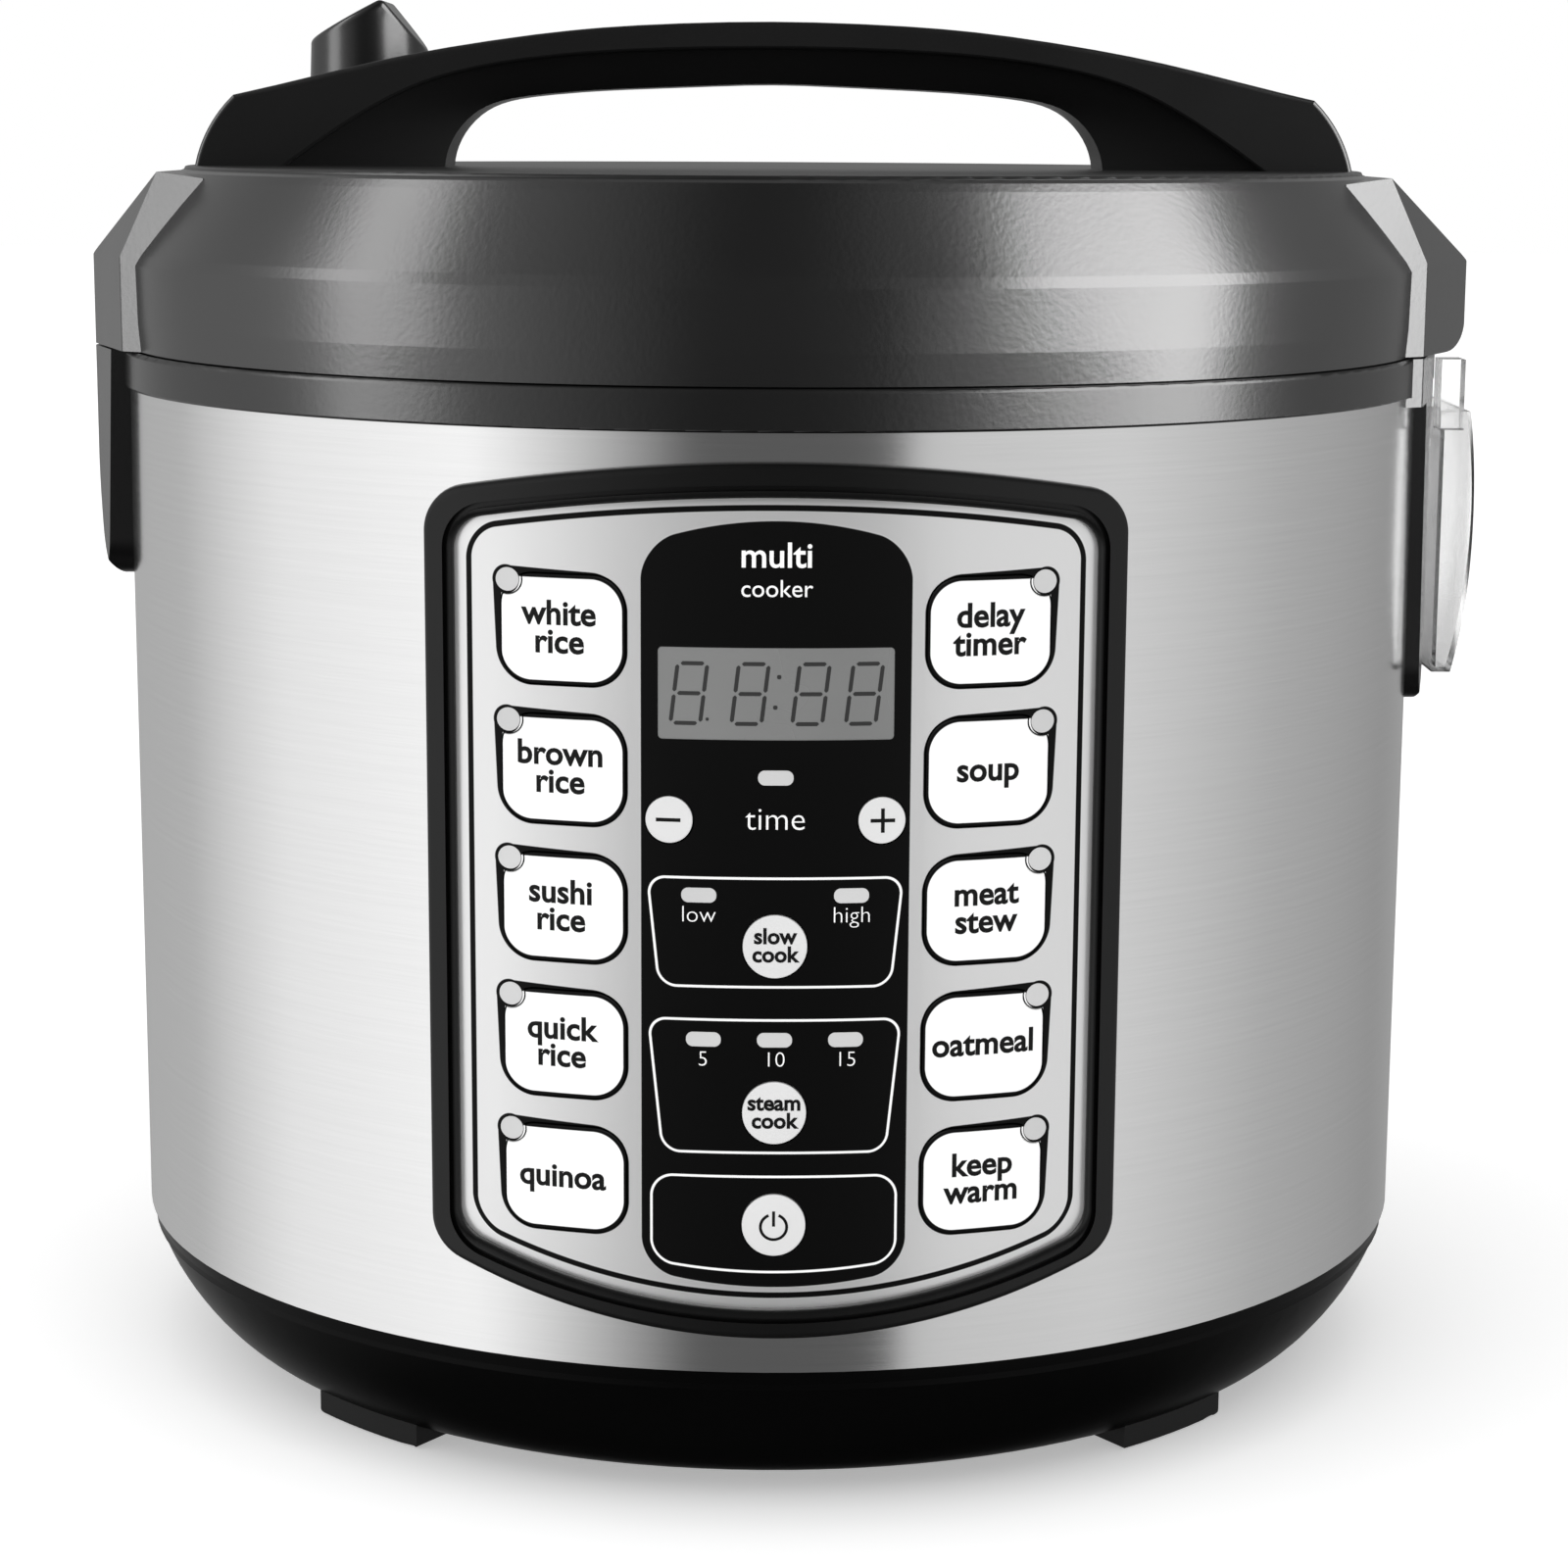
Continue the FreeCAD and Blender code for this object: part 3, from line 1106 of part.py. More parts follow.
def make_condensation_cup():
    cup = cup_solid(0).cut(cup_solid(CUP_WALL))
    for y0, y1 in ((CUP_PEG_IN_Y, CUP_PEG_OUT_Y), (-CUP_PEG_OUT_Y, -CUP_PEG_IN_Y)):
        peg = box(CUP_BACK_X, CUP_PEG_OUT_X, y0, y1, CUP_TOP_Z - 4, CUP_PEG_TOP_Z)
        cup = cup.fuse(peg)
    tab_room = box(DRUM_R - 40, CUP_BACK_X + 0.5, -40, 40, CUP_LOW_Z, RING_TOP_Z)
    return cup.fuse(cup_tabs(0).common(tab_room)).removeSplitter()


def make_power_inlet():
    face_y = INLET_FACE_Y
    body = box(-INLET_HALF_W, INLET_HALF_W, face_y - INLET_DEPTH - INLET_BACK_T, face_y,
               INLET_Z - INLET_HALF_H, INLET_Z + INLET_HALF_H)
    flange = box(-INLET_HALF_W - INLET_FLANGE, INLET_HALF_W + INLET_FLANGE, face_y - 4, face_y,
                 INLET_Z - INLET_HALF_H - INLET_FLANGE, INLET_Z + INLET_HALF_H + INLET_FLANGE)
    flange = flange.makeFillet(1.0, [e for e in flange.Edges if e.BoundBox.YMin > face_y - 0.01])
    well = box(-INLET_HALF_W + 3, INLET_HALF_W - 3, face_y - INLET_DEPTH, face_y + 1,
               INLET_Z - INLET_HALF_H + 3, INLET_Z + INLET_HALF_H - 3)
    well = well.makeChamfer(4.0, [e for e in edges_along(well, ALONG_Y) if e.BoundBox.ZMin > INLET_Z])
    socket = body.fuse(flange).cut(well)
    for x, z in PIN_XZ:
        start = V(x, face_y - INLET_DEPTH - 2 * INLET_BACK_T, z)
        socket = socket.cut(rod(INLET_PIN_HALF, start, start + ALONG_Y * 2 * INLET_BACK_T))
    return socket


def make_inlet_pins():
    pins = []
    for x, z in PIN_XZ:
        start = V(x, INLET_FACE_Y - INLET_DEPTH - INLET_BACK_T, z)
        pins.append(rod(INLET_PIN_HALF, start, start + ALONG_Y * (INLET_BACK_T + INLET_PIN_LEN)))
    return Part.makeCompound(pins)


def make_power_board():
    low = BASE_FLOOR_Z + BASE_FLOOR_T
    board = box(-48, 48, -72, -34, low + 5, low + 6.6)
    relay = box(-40, -22, -64, -46, low + 6.6, low + 18)
    transformer = box(4, 34, -66, -42, low + 6.6, low + 19)
    for x in (-44, 44):
        for y in (-68, -38):
            board = board.fuse(Part.makeCylinder(2.5, 5.2, V(x, y, low)))
    return board.fuse(relay).fuse(transformer).removeSplitter()


def build_all():
    parts = {
        "base_pan": make_base_pan(),
        "feet": make_feet(),
        "base_screws": make_base_screws(),
        "chamber_supports": make_chamber_supports(),
        "steel_wrap": make_steel_wrap(),
        "body_ring": make_body_ring(),
        "inner_chamber": make_inner_chamber(),
        "heating_plate": make_heating_plate(),
        "heating_tube": make_heating_tube(),
        "plate_legs": make_plate_legs(),
        "thermal_fuse": make_thermal_fuse(),
        "sensor_bracket": make_sensor_bracket(),
        "thermal_sensor": make_thermal_sensor(),
        "sensor_spring": make_sensor_spring(),
        "inner_pot": make_inner_pot(),
        "control_bezel": make_control_bezel(),
        "control_panel": make_control_panel(),
        "display_lens": make_display_lens(),
        "display_module": make_display_module(),
        "led_lenses": make_led_lenses(),
        "control_board": make_control_board(),
        "key_switches": make_key_switches(),
        "power_board": make_power_board(),
        "power_inlet": make_power_inlet(),
        "inlet_pins": make_inlet_pins(),
        "latch_housing": make_latch_housing(),
        "release_button": make_release_button(),
        "latch_hook": make_latch_hook(),
        "hinge_base": make_hinge_base(),
        "hinge_tongue": make_hinge_tongue(),
        "hinge_pin": make_hinge_pin(),
        "condensation_cup": make_condensation_cup(),
        "lid_shell": make_lid_shell(),
        "lid_top_plate": make_lid_top_plate(),
        "lid_keeper": make_lid_keeper(),
        "carry_handle": make_carry_handle(),
        "handle_screws": make_handle_screws(),
        "lid_liner": make_lid_liner(),
        "inner_lid_plate": make_inner_lid_plate(),
        "lid_gasket": make_lid_gasket(),
        "inner_lid_grommet": make_inner_lid_grommet(),
        "vent_seat": make_vent_seat(),
        "vent_cap": make_vent_cap(),
    }
    for name, s, z in key_places():
        parts[name] = make_key(s, z, key_block(s, z, 0))
    for name, (s, z, radius) in ROUND_KEYS.items():
        parts[name] = make_key(s, z, round_block(s, z, radius))
    return parts


os.makedirs("parts", exist_ok=True)
for node, shape in build_all().items():
    shape.exportStep(f"parts/{node}.step")
    print(node, shape.isValid(), len(shape.Solids), round(shape.Volume / 1000, 2), shape.BoundBox)
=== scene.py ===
"""Studio scene of a countertop multicooker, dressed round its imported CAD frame."""

import json
import logging
import math
from dataclasses import dataclass, field
from enum import Enum
from functools import partial

import bpy
from mathutils import Matrix, Vector

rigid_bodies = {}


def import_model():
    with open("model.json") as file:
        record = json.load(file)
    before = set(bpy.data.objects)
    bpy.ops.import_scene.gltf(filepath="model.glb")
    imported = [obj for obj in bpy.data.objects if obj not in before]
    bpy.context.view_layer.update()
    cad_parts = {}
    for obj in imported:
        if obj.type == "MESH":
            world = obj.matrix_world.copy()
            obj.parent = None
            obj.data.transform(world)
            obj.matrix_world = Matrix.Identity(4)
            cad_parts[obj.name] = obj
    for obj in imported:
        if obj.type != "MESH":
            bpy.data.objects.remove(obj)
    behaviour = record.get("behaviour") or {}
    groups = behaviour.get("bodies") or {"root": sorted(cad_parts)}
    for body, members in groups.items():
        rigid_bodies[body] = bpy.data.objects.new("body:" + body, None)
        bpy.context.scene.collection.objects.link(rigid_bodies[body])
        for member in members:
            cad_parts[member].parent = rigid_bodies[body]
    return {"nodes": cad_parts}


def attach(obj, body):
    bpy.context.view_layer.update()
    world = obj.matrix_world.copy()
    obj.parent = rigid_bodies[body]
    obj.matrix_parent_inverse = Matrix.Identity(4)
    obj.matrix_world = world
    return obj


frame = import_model()
bpy.context.view_layer.update()

# Places on the drum are arc length and height in millimetres; names in _m are metres.
MM = 0.001
DRUM_R = 140.0
KEY_FACE_R = 141.1
PANEL_FACE_R = 140.8
KEY_S = 40.3
KEY_TOP_Z = 174.0
KEY_PITCH = 26.4
KEY_ROWS = 5
INK_MM = 0.03
INK_SLOT = "bezel_black"
FIXED_BODY = "cooker_body"
LOG = logging.getLogger("cooker")

Socket = bpy.types.NodeSocket
Number = float | Socket


# --------------------------------------------------------------------------------------
# Node helpers
# --------------------------------------------------------------------------------------
class Graph:
    """Adds and joins nodes in one node tree."""

    def __init__(self, tree: bpy.types.NodeTree) -> None:
        """Keep the tree that nodes are added to.

        Args:
            tree: A material, world or group node tree.
        """
        self.tree = tree

    def node(self, kind: str, **values: object) -> bpy.types.Node:
        """Add a node and set its plain properties.

        Args:
            kind: Blender's node class name.
            **values: Properties to set on the node.

        Returns:
            The new node.
        """
        made = self.tree.nodes.new(kind)
        for name, value in values.items():
            setattr(made, name, value)
        return made

    def feed(self, target: Socket, value: Number | tuple) -> None:
        """Join a socket to a target, or set the target's own value.

        Args:
            target: The input socket.
            value: A socket to link, or a plain value.
        """
        if isinstance(value, bpy.types.NodeSocket):
            self.tree.links.new(value, target)
        else:
            target.default_value = value

    def math(self, operation: str, *inputs: Number, clamp: bool = False) -> Socket:
        """Add one math node.

        Args:
            operation: Blender's name of the operation.
            *inputs: Sockets or plain numbers, in order.
            clamp: Keep the result between 0 and 1.

        Returns:
            The node's result.
        """
        made = self.node("ShaderNodeMath", operation=operation, use_clamp=clamp)
        for target, value in zip(made.inputs, inputs):
            self.feed(target, value)
        return made.outputs[0]
    def limit(self, value: Socket, low: float, high: float) -> Socket:
        """Keep a value between two bounds."""
        return self.math("MINIMUM", self.math("MAXIMUM", value, low), high)

    def beyond(self, value: Socket, half: Number) -> Socket:
        """Give how far a value lies past plus or minus a half size."""
        return self.math("SUBTRACT", self.math("ABSOLUTE", value), half)

    def hypot(self, across: Socket, up: Socket) -> Socket:
        """Give the straight distance that two offsets make."""
        squares = [self.math("MULTIPLY", offset, offset) for offset in (across, up)]
        return self.math("SQRT", self.math("ADD", *squares))

    def noise(self, place: Socket, **values: Number) -> Socket:
        """Add noise over a place.

        Args:
            place: The vector that the noise is read at.
            **values: The noise node's other inputs.

        Returns:
            The noise from 0 to 1.
        """
        made = self.node("ShaderNodeTexNoise")
        for name, value in {"Vector": place, **values}.items():
            self.feed(made.inputs[name], value)
        return made.outputs[0]

    def mix(self, factor: Number, first: tuple | Socket, second: tuple | Socket) -> Socket:
        """Blend two colours.

        Args:
            factor: 0 gives the first colour, 1 the second.
            first: A colour with alpha, or a socket.
            second: A colour with alpha, or a socket.

        Returns:
            The blended colour.
        """
        made = self.node("ShaderNodeMix", data_type="RGBA")
        self.feed(made.inputs["Factor"], factor)
        self.feed(made.inputs[6], first)
        self.feed(made.inputs[7], second)
        return made.outputs[2]

    def use(self, group: bpy.types.NodeTree, **values: Number) -> bpy.types.Node:
        """Place a node group and feed its named inputs.

        Args:
            group: The group's tree.
            **values: Input names and what feeds them.

        Returns:
            The group node.
        """
        made = self.node("ShaderNodeGroup", node_tree=group)
        for name, value in values.items():
            self.feed(made.inputs[name], value)
        return made


def new_group(name: str, inputs: dict[str, float], outputs: tuple[str, ...]) -> tuple:
    """Make an empty shader node group with number sockets.

    Args:
        name: The group's name.
        inputs: Input names with their default values.
        outputs: Output names.

    Returns:
        The tree, a Graph on it, its input node and its output node.
    """
    tree = bpy.data.node_groups.new(name, "ShaderNodeTree")
    for label, value in inputs.items():
        made = tree.interface.new_socket(name=label, in_out="INPUT", socket_type="NodeSocketFloat")
        made.default_value = value
    for label in outputs:
        tree.interface.new_socket(name=label, in_out="OUTPUT", socket_type="NodeSocketFloat")
    graph = Graph(tree)
    return tree, graph, graph.node("NodeGroupInput"), graph.node("NodeGroupOutput")


class Patterns:
    """The shader node groups that several finishes share."""

    def __init__(self) -> None:
        """Build every group once."""
        self.drum_map = self.build_drum_map()
        self.block = self.build_block()
        self.bowed = self.build_bowed()
        self.grain = self.build_grain()
        self.brushed = self.build_brushed()

    def build_drum_map(self) -> bpy.types.NodeTree:
        """Make the map from object space to arc length round the drum and height, in mm."""
        tree, g, start, end = new_group("drum_map", {}, ("Around", "Height"))
        place = g.node("ShaderNodeTexCoord")
        parts = g.node("ShaderNodeSeparateXYZ")
        g.feed(parts.inputs[0], place.outputs["Object"])
        angle = g.math("ARCTAN2", parts.outputs[0], g.math("MULTIPLY", parts.outputs[1], -1.0))
        g.feed(end.inputs["Around"], g.math("MULTIPLY", angle, DRUM_R))
        g.feed(end.inputs["Height"], g.math("MULTIPLY", parts.outputs[2], 1000.0))
        return tree

    @staticmethod
    def corner_distance(g: Graph, across: Socket, up: Socket, corner: Number) -> Socket:
        """Join two edge distances into a rounded-corner distance.

        Args:
            g: The graph to add to.
            across: Sideways distance past the corner's centre.
            up: Upward distance past the corner's centre.
            corner: Corner radius.

        Returns:
            Signed distance, negative inside.
        """
        past = g.hypot(g.math("MAXIMUM", across, 0.0), g.math("MAXIMUM", up, 0.0))
        inside = g.math("MINIMUM", g.math("MAXIMUM", across, up), 0.0)
        return g.math("SUBTRACT", g.math("ADD", past, inside), corner)

    def build_block(self) -> bpy.types.NodeTree:
        """Make the signed distance to a rounded rectangle whose sides may lean."""
        tree, g, start, end = new_group(
            "rounded_block",
            {"Across": 0, "Up": 0, "HalfWidth": 10, "HalfHeight": 10, "Corner": 3, "Lean": 0},
            ("Distance",),
        )
        i = start.outputs
        half = g.math("ADD", i["HalfWidth"], g.math("MULTIPLY", i["Up"], i["Lean"]))
        across = g.math("ADD", g.beyond(i["Across"], half), i["Corner"])
        up = g.math("ADD", g.beyond(i["Up"], i["HalfHeight"]), i["Corner"])
        g.feed(end.inputs["Distance"], self.corner_distance(g, across, up, i["Corner"]))
        return tree

    def build_bowed(self) -> bpy.types.NodeTree:
        """Make the signed distance to a block with arched top and bottom edges."""
        sizes = {"HalfWidth": 10, "Top": 10, "Bottom": -10, "TopBow": 0, "BottomBow": 0, "Corner": 3}
        tree, g, start, end = new_group("bowed_block", {"Across": 0, "Up": 0, **sizes}, ("Distance",))
        i = start.outputs
        square = g.math("MULTIPLY", i["Across"], i["Across"])
        top = g.math("SUBTRACT", i["Top"], g.math("MULTIPLY", square, i["TopBow"]))
        bottom = g.math("ADD", i["Bottom"], g.math("MULTIPLY", square, i["BottomBow"]))
        past = g.math("MAXIMUM", g.math("SUBTRACT", i["Up"], top), g.math("SUBTRACT", bottom, i["Up"]))
        across = g.math("ADD", g.beyond(i["Across"], i["HalfWidth"]), i["Corner"])
        up = g.math("ADD", past, i["Corner"])
        g.feed(end.inputs["Distance"], self.corner_distance(g, across, up, i["Corner"]))
        return tree

    def build_grain(self) -> bpy.types.NodeTree:
        """Make the fine pebble grain of spark-textured mouldings."""
        tree, g, start, end = new_group("pebble_grain", {"Scale": 1500.0, "Drift": 25.0}, ("Height", "Tone"))
        place = g.node("ShaderNodeTexCoord").outputs["Object"]
        g.feed(end.inputs["Height"], g.noise(place, Scale=start.outputs["Scale"], Detail=1.0))
        g.feed(end.inputs["Tone"], g.noise(place, Scale=start.outputs["Drift"]))
        return tree

    def build_brushed(self) -> bpy.types.NodeTree:
        """Make the fine level scratches that run round the drum."""
        tree, g, start, end = new_group("brushed_lines", {"Along": 0.06, "Across": 9.0}, ("Height", "Tone"))
        spot = g.node("ShaderNodeGroup", node_tree=self.drum_map)
        line = g.node("ShaderNodeCombineXYZ")
        g.feed(line.inputs[0], g.math("MULTIPLY", spot.outputs["Around"], start.outputs["Along"]))
        g.feed(line.inputs[1], g.math("MULTIPLY", spot.outputs["Height"], start.outputs["Across"]))
        fine = g.noise(line.outputs[0], Scale=1.0, Detail=4.0, Roughness=0.65)
        wide = g.noise(line.outputs[0], Scale=0.12, Detail=2.0)
        wide_share = 0.35
        fine_tone = g.math("MULTIPLY", fine, 1.0 - wide_share)
        g.feed(end.inputs["Height"], fine)
        g.feed(end.inputs["Tone"], g.math("MULTIPLY_ADD", wide, wide_share, fine_tone))
        return tree


# --------------------------------------------------------------------------------------
# Finishes
# --------------------------------------------------------------------------------------
def begin_material(name: str) -> tuple[bpy.types.Material, Graph, bpy.types.Node]:
    """Start a material with one Principled shader.

    Args:
        name: The material's name.

    Returns:
        The material, its graph and its shader node.
    """
    material = bpy.data.materials.new(name)
    material.use_nodes = True
    material.node_tree.nodes.clear()
    g = Graph(material.node_tree)
    shader = g.node("ShaderNodeBsdfPrincipled")
    out = g.node("ShaderNodeOutputMaterial")
    g.feed(out.inputs["Surface"], shader.outputs[0])
    return material, g, shader


def bump_into(g: Graph, shader: bpy.types.Node, height: Socket, depth_mm: float) -> None:
    """Feed a height pattern to a shader's normal.

    Args:
        g: The material's graph.
        shader: The Principled shader.
        height: Pattern from 0 to 1.
        depth_mm: Depth of the pattern.
    """
    bump = g.node("ShaderNodeBump")
    bump.inputs["Strength"].default_value = 1.0
    bump.inputs["Distance"].default_value = depth_mm * MM
    g.feed(bump.inputs["Height"], height)
    g.feed(shader.inputs["Normal"], bump.outputs[0])


def grey(value: float, alpha: float = 1.0) -> tuple[float, float, float, float]:
    """Give a neutral colour."""
    return (value, value, value, alpha)


@dataclass(frozen=True)
class Mottle:
    """How far a pattern of 0 to 1 moves a finish's grey and its roughness."""

    dark: float
    light: float
    spread: float
    below: float

    def apply(self, g: Graph, shader: bpy.types.Node, pattern: Socket, tone: float, roughness: float,
              tint: tuple[float, float, float] = (1.0, 1.0, 1.0)) -> None:
        """Feed a shader's colour and roughness.

        Args:
            g: The material's graph.
            shader: The Principled shader.
            pattern: Pattern from 0 to 1.
            tone: The finish's middle grey.
            roughness: The finish's middle roughness.
            tint: Share of each colour channel.
        """
        ends = [tuple(tone * part * c for c in tint) + (1.0,) for part in (self.dark, self.light)]
        g.feed(shader.inputs["Base Color"], g.mix(pattern, *ends))
        rough = g.math("MULTIPLY_ADD", pattern, self.spread, roughness - self.below)
        g.feed(shader.inputs["Roughness"], rough)


@dataclass(frozen=True)
class MouldedPlastic:
    """Spark-textured or polished moulding."""

    name: str
    tone: float
    roughness: float
    grain_mm: float = 0.012
    grain_scale: float = 1400.0
    specular: float = 0.5
    tint: tuple[float, float, float] = (1.0, 1.0, 1.0)
    mottle: Mottle = Mottle(0.85, 1.15, 0.08, 0.04)

    def material(self, patterns: Patterns) -> bpy.types.Material:
        """Build the material.

        Args:
            patterns: The shared node groups.

        Returns:
            The finished material.
        """
        material, g, shader = begin_material(self.name)
        grain = g.use(patterns.grain, Scale=self.grain_scale)
        self.mottle.apply(g, shader, grain.outputs["Tone"], self.tone, self.roughness, self.tint)
        shader.inputs["Specular IOR Level"].default_value = self.specular
        bump_into(g, shader, grain.outputs["Height"], self.grain_mm)
        return material


@dataclass(frozen=True)
class BrushedSteel:
    """Stainless sheet with level brushing."""

    name: str
    tone: float
    roughness: float
    depth_mm: float = 0.004
    mottle: Mottle = Mottle(0.86, 1.10, 0.16, 0.08)

    def material(self, patterns: Patterns) -> bpy.types.Material:
        """Build the material.

        Args:
            patterns: The shared node groups.

        Returns:
            The finished material.
        """
        material, g, shader = begin_material(self.name)
        lines = g.use(patterns.brushed)
        self.mottle.apply(g, shader, lines.outputs["Tone"], self.tone, self.roughness)
        shader.inputs["Metallic"].default_value = 1.0
        bump_into(g, shader, lines.outputs["Height"], self.depth_mm)
        return material


@dataclass(frozen=True)
class PlainMetal:
    """Drawn, cast or plated metal with a faint mottle."""

    name: str
    tone: float
    roughness: float
    metallic: float = 1.0
    drift: float = 60.0
    grain_scale: float = 600.0
    grain_mm: float = 0.006
    mottle: Mottle = Mottle(0.82, 1.12, 0.15, 0.07)

    def material(self, patterns: Patterns) -> bpy.types.Material:
        """Build the material.

        Args:
            patterns: The shared node groups.

        Returns:
            The finished material.
        """
        material, g, shader = begin_material(self.name)
        grain = g.use(patterns.grain, Scale=self.grain_scale, Drift=self.drift)
        self.mottle.apply(g, shader, grain.outputs["Tone"], self.tone, self.roughness)
        shader.inputs["Metallic"].default_value = self.metallic
        bump_into(g, shader, grain.outputs["Height"], self.grain_mm)
        return material


@dataclass(frozen=True)
class ClearPlastic:
    """Clear see-through moulding."""

    name: str
    tone: float
    roughness: float
    ior: float = 1.49
    drift: float = 40.0
    grain_scale: float = 300.0
    grain_mm: float = 0.004
    mottle: Mottle = Mottle(0.96, 1.03, 0.04, 0.0)

    def material(self, patterns: Patterns) -> bpy.types.Material:
        """Build the material.

        Args:
            patterns: The shared node groups.

        Returns:
            The finished material.
        """
        material, g, shader = begin_material(self.name)
        grain = g.use(patterns.grain, Scale=self.grain_scale, Drift=self.drift)
        self.mottle.apply(g, shader, grain.outputs["Tone"], self.tone, self.roughness)
        shader.inputs["Transmission Weight"].default_value = 1.0
        shader.inputs["IOR"].default_value = self.ior
        bump_into(g, shader, grain.outputs["Height"], self.grain_mm)
        return material


@dataclass(frozen=True)
class BowedShape:
    """A printed shape with arched top and bottom edges, in mm."""

    half_width: float
    top: float
    bottom: float
    top_bow: float
    bottom_bow: float
    corner: float

    def distance(self, g: Graph, patterns: Patterns, around: Socket, height: Socket) -> Socket:
        """Give the signed distance in mm to the shape's edge, negative inside."""
        shape = g.use(patterns.bowed, Across=around, Up=height, HalfWidth=self.half_width, Top=self.top,
                      Bottom=self.bottom, TopBow=self.top_bow, BottomBow=self.bottom_bow,
                      Corner=self.corner)
        return shape.outputs[0]


@dataclass(frozen=True)
class LeaningShape:
    """A printed box that widens upward, in mm."""

    middle: float
    half_width: float
    half_height: float
    corner: float = 3.4
    lean: float = 0.105

    def distance(self, g: Graph, patterns: Patterns, around: Socket, height: Socket) -> Socket:
        """Give the signed distance in mm to the shape's edge, negative inside."""
        shape = g.use(patterns.block, Across=around, Up=g.math("SUBTRACT", height, self.middle),
                      HalfWidth=self.half_width, HalfHeight=self.half_height, Corner=self.corner,
                      Lean=self.lean)
        return shape.outputs[0]


@dataclass(frozen=True)
class PanelPrint:
    """Silver overlay printed with its border, centre field, boxes and key outlines."""

    name: str
    silver: float = 0.77
    silver_dark: float = 0.95
    silver_light: float = 1.04
    silver_metallic: float = 0.7
    ink: float = 0.0015
    white: float = 0.86
    roughness: float = 0.3
    print_roughness: float = 0.1
    specular: float = 0.12
    grain_mm: float = 0.003
    soft_edge: float = 0.12
    border: BowedShape = BowedShape(58.8, 197.4, 47.0, 0.00149, 0.00315, 5.6)
    border_line: float = 1.15
    centre: BowedShape = BowedShape(25.1, 195.0, 48.6, 0.0074, 0.0048, 6.5)
    boxes: tuple[LeaningShape | BowedShape, ...] = (
        LeaningShape(117.7, 22.8, 10.4),
        LeaningShape(88.0, 22.4, 12.9),
        BowedShape(23.2, 70.4, 51.6, 0.0, 0.0035, 4.2),
    )
    box_line: float = 0.45
    face_half_w: float = 11.8
    face_half_h: float = 9.6
    face_corner: float = 6.0
    lamp_corner: float = 1.5
    outline_out: float = 12.75
    outline_in: float = 12.8
    outline_top: float = 10.6
    outline_low: float = 10.7
    outline_corner: float = 7.0
    flare_out: float = 0.85
    flare_top: float = 1.05
    lamp_in: float = 10.9
    lamp_up: float = 9.0
    lamp_ring: float = 2.75

    def edge(self, g: Graph, distance: Socket) -> Socket:
        """Turn a signed distance into a mask: 1 inside, 0 outside."""
        return g.limit(g.math("MULTIPLY_ADD", distance, -1.0 / self.soft_edge, 0.5), 0.0, 1.0)

    def line(self, g: Graph, distance: Socket, width: float) -> Socket:
        """Mask a line of a given width along a shape's edge."""
        return self.edge(g, g.beyond(distance, width / 2))

    def rounded(self, g: Graph, across: Socket, up: Socket, corner: Socket) -> Socket:
        """Mask a rounded block.

        Args:
            g: The material's graph.
            across: Distance past its sides.
            up: Distance past its top and bottom.
            corner: Corner radius.

        Returns:
            1 inside, 0 outside.
        """
        across, up = g.math("ADD", across, corner), g.math("ADD", up, corner)
        return self.edge(g, Patterns.corner_distance(g, across, up, corner))

    def key_masks(self, g: Graph, around: Socket, height: Socket) -> tuple[Socket, Socket]:
        """Mask the outlines and faces of the two key columns.

        Args:
            g: The material's graph.
            around: Arc length in mm.
            height: Height in mm.

        Returns:
            The ink mask and the white face mask.
        """
        inward = g.math("SUBTRACT", KEY_S, g.math("ABSOLUTE", around))
        outward = g.math("MULTIPLY", inward, -1.0)
        last = KEY_ROWS - 1
        lowest = KEY_TOP_Z - last * KEY_PITCH
        row = g.math("DIVIDE", g.math("ADD", height, KEY_PITCH / 2 - lowest), KEY_PITCH)
        row = g.limit(g.math("FLOOR", row), 0.0, float(last))
        up = g.math("SUBTRACT", height, g.math("MULTIPLY_ADD", row, KEY_PITCH, lowest))
        down = g.math("MULTIPLY", up, -1.0)
        toward_top = g.math("DIVIDE", g.math("ADD", up, self.face_half_h), 2 * self.face_half_h)
        toward_out = g.math("DIVIDE", g.math("SUBTRACT", self.face_half_w, inward), 2 * self.face_half_w)
        out_edge = g.math("MULTIPLY_ADD", toward_top, self.flare_out, self.outline_out)
        top_edge = g.math("MULTIPLY_ADD", toward_out, self.flare_top, self.outline_top)
        past_in = g.math("SUBTRACT", inward, self.outline_in)
        past_low = g.math("SUBTRACT", down, self.outline_low)
        across = g.math("MAXIMUM", g.math("SUBTRACT", outward, out_edge), past_in)
        above = g.math("MAXIMUM", g.math("SUBTRACT", up, top_edge), past_low)
        lamp_side = g.math("MULTIPLY", g.math("LESS_THAN", inward, 0.0), g.math("GREATER_THAN", up, 0.0))
        corner = g.math("MULTIPLY_ADD", lamp_side, self.lamp_ring - self.outline_corner, self.outline_corner)
        outer = self.rounded(g, across, above, corner)
        corner = g.math("MULTIPLY_ADD", lamp_side, self.lamp_corner - self.face_corner, self.face_corner)
        face = self.rounded(g, g.beyond(inward, self.face_half_w), g.beyond(up, self.face_half_h), corner)
        lamp = g.hypot(g.math("ADD", inward, self.lamp_in), g.math("SUBTRACT", up, self.lamp_up))
        ring = self.edge(g, g.math("SUBTRACT", lamp, self.lamp_ring))
        face = g.math("MULTIPLY", face, g.math("SUBTRACT", 1.0, ring))
        return g.math("MAXIMUM", outer, ring), face

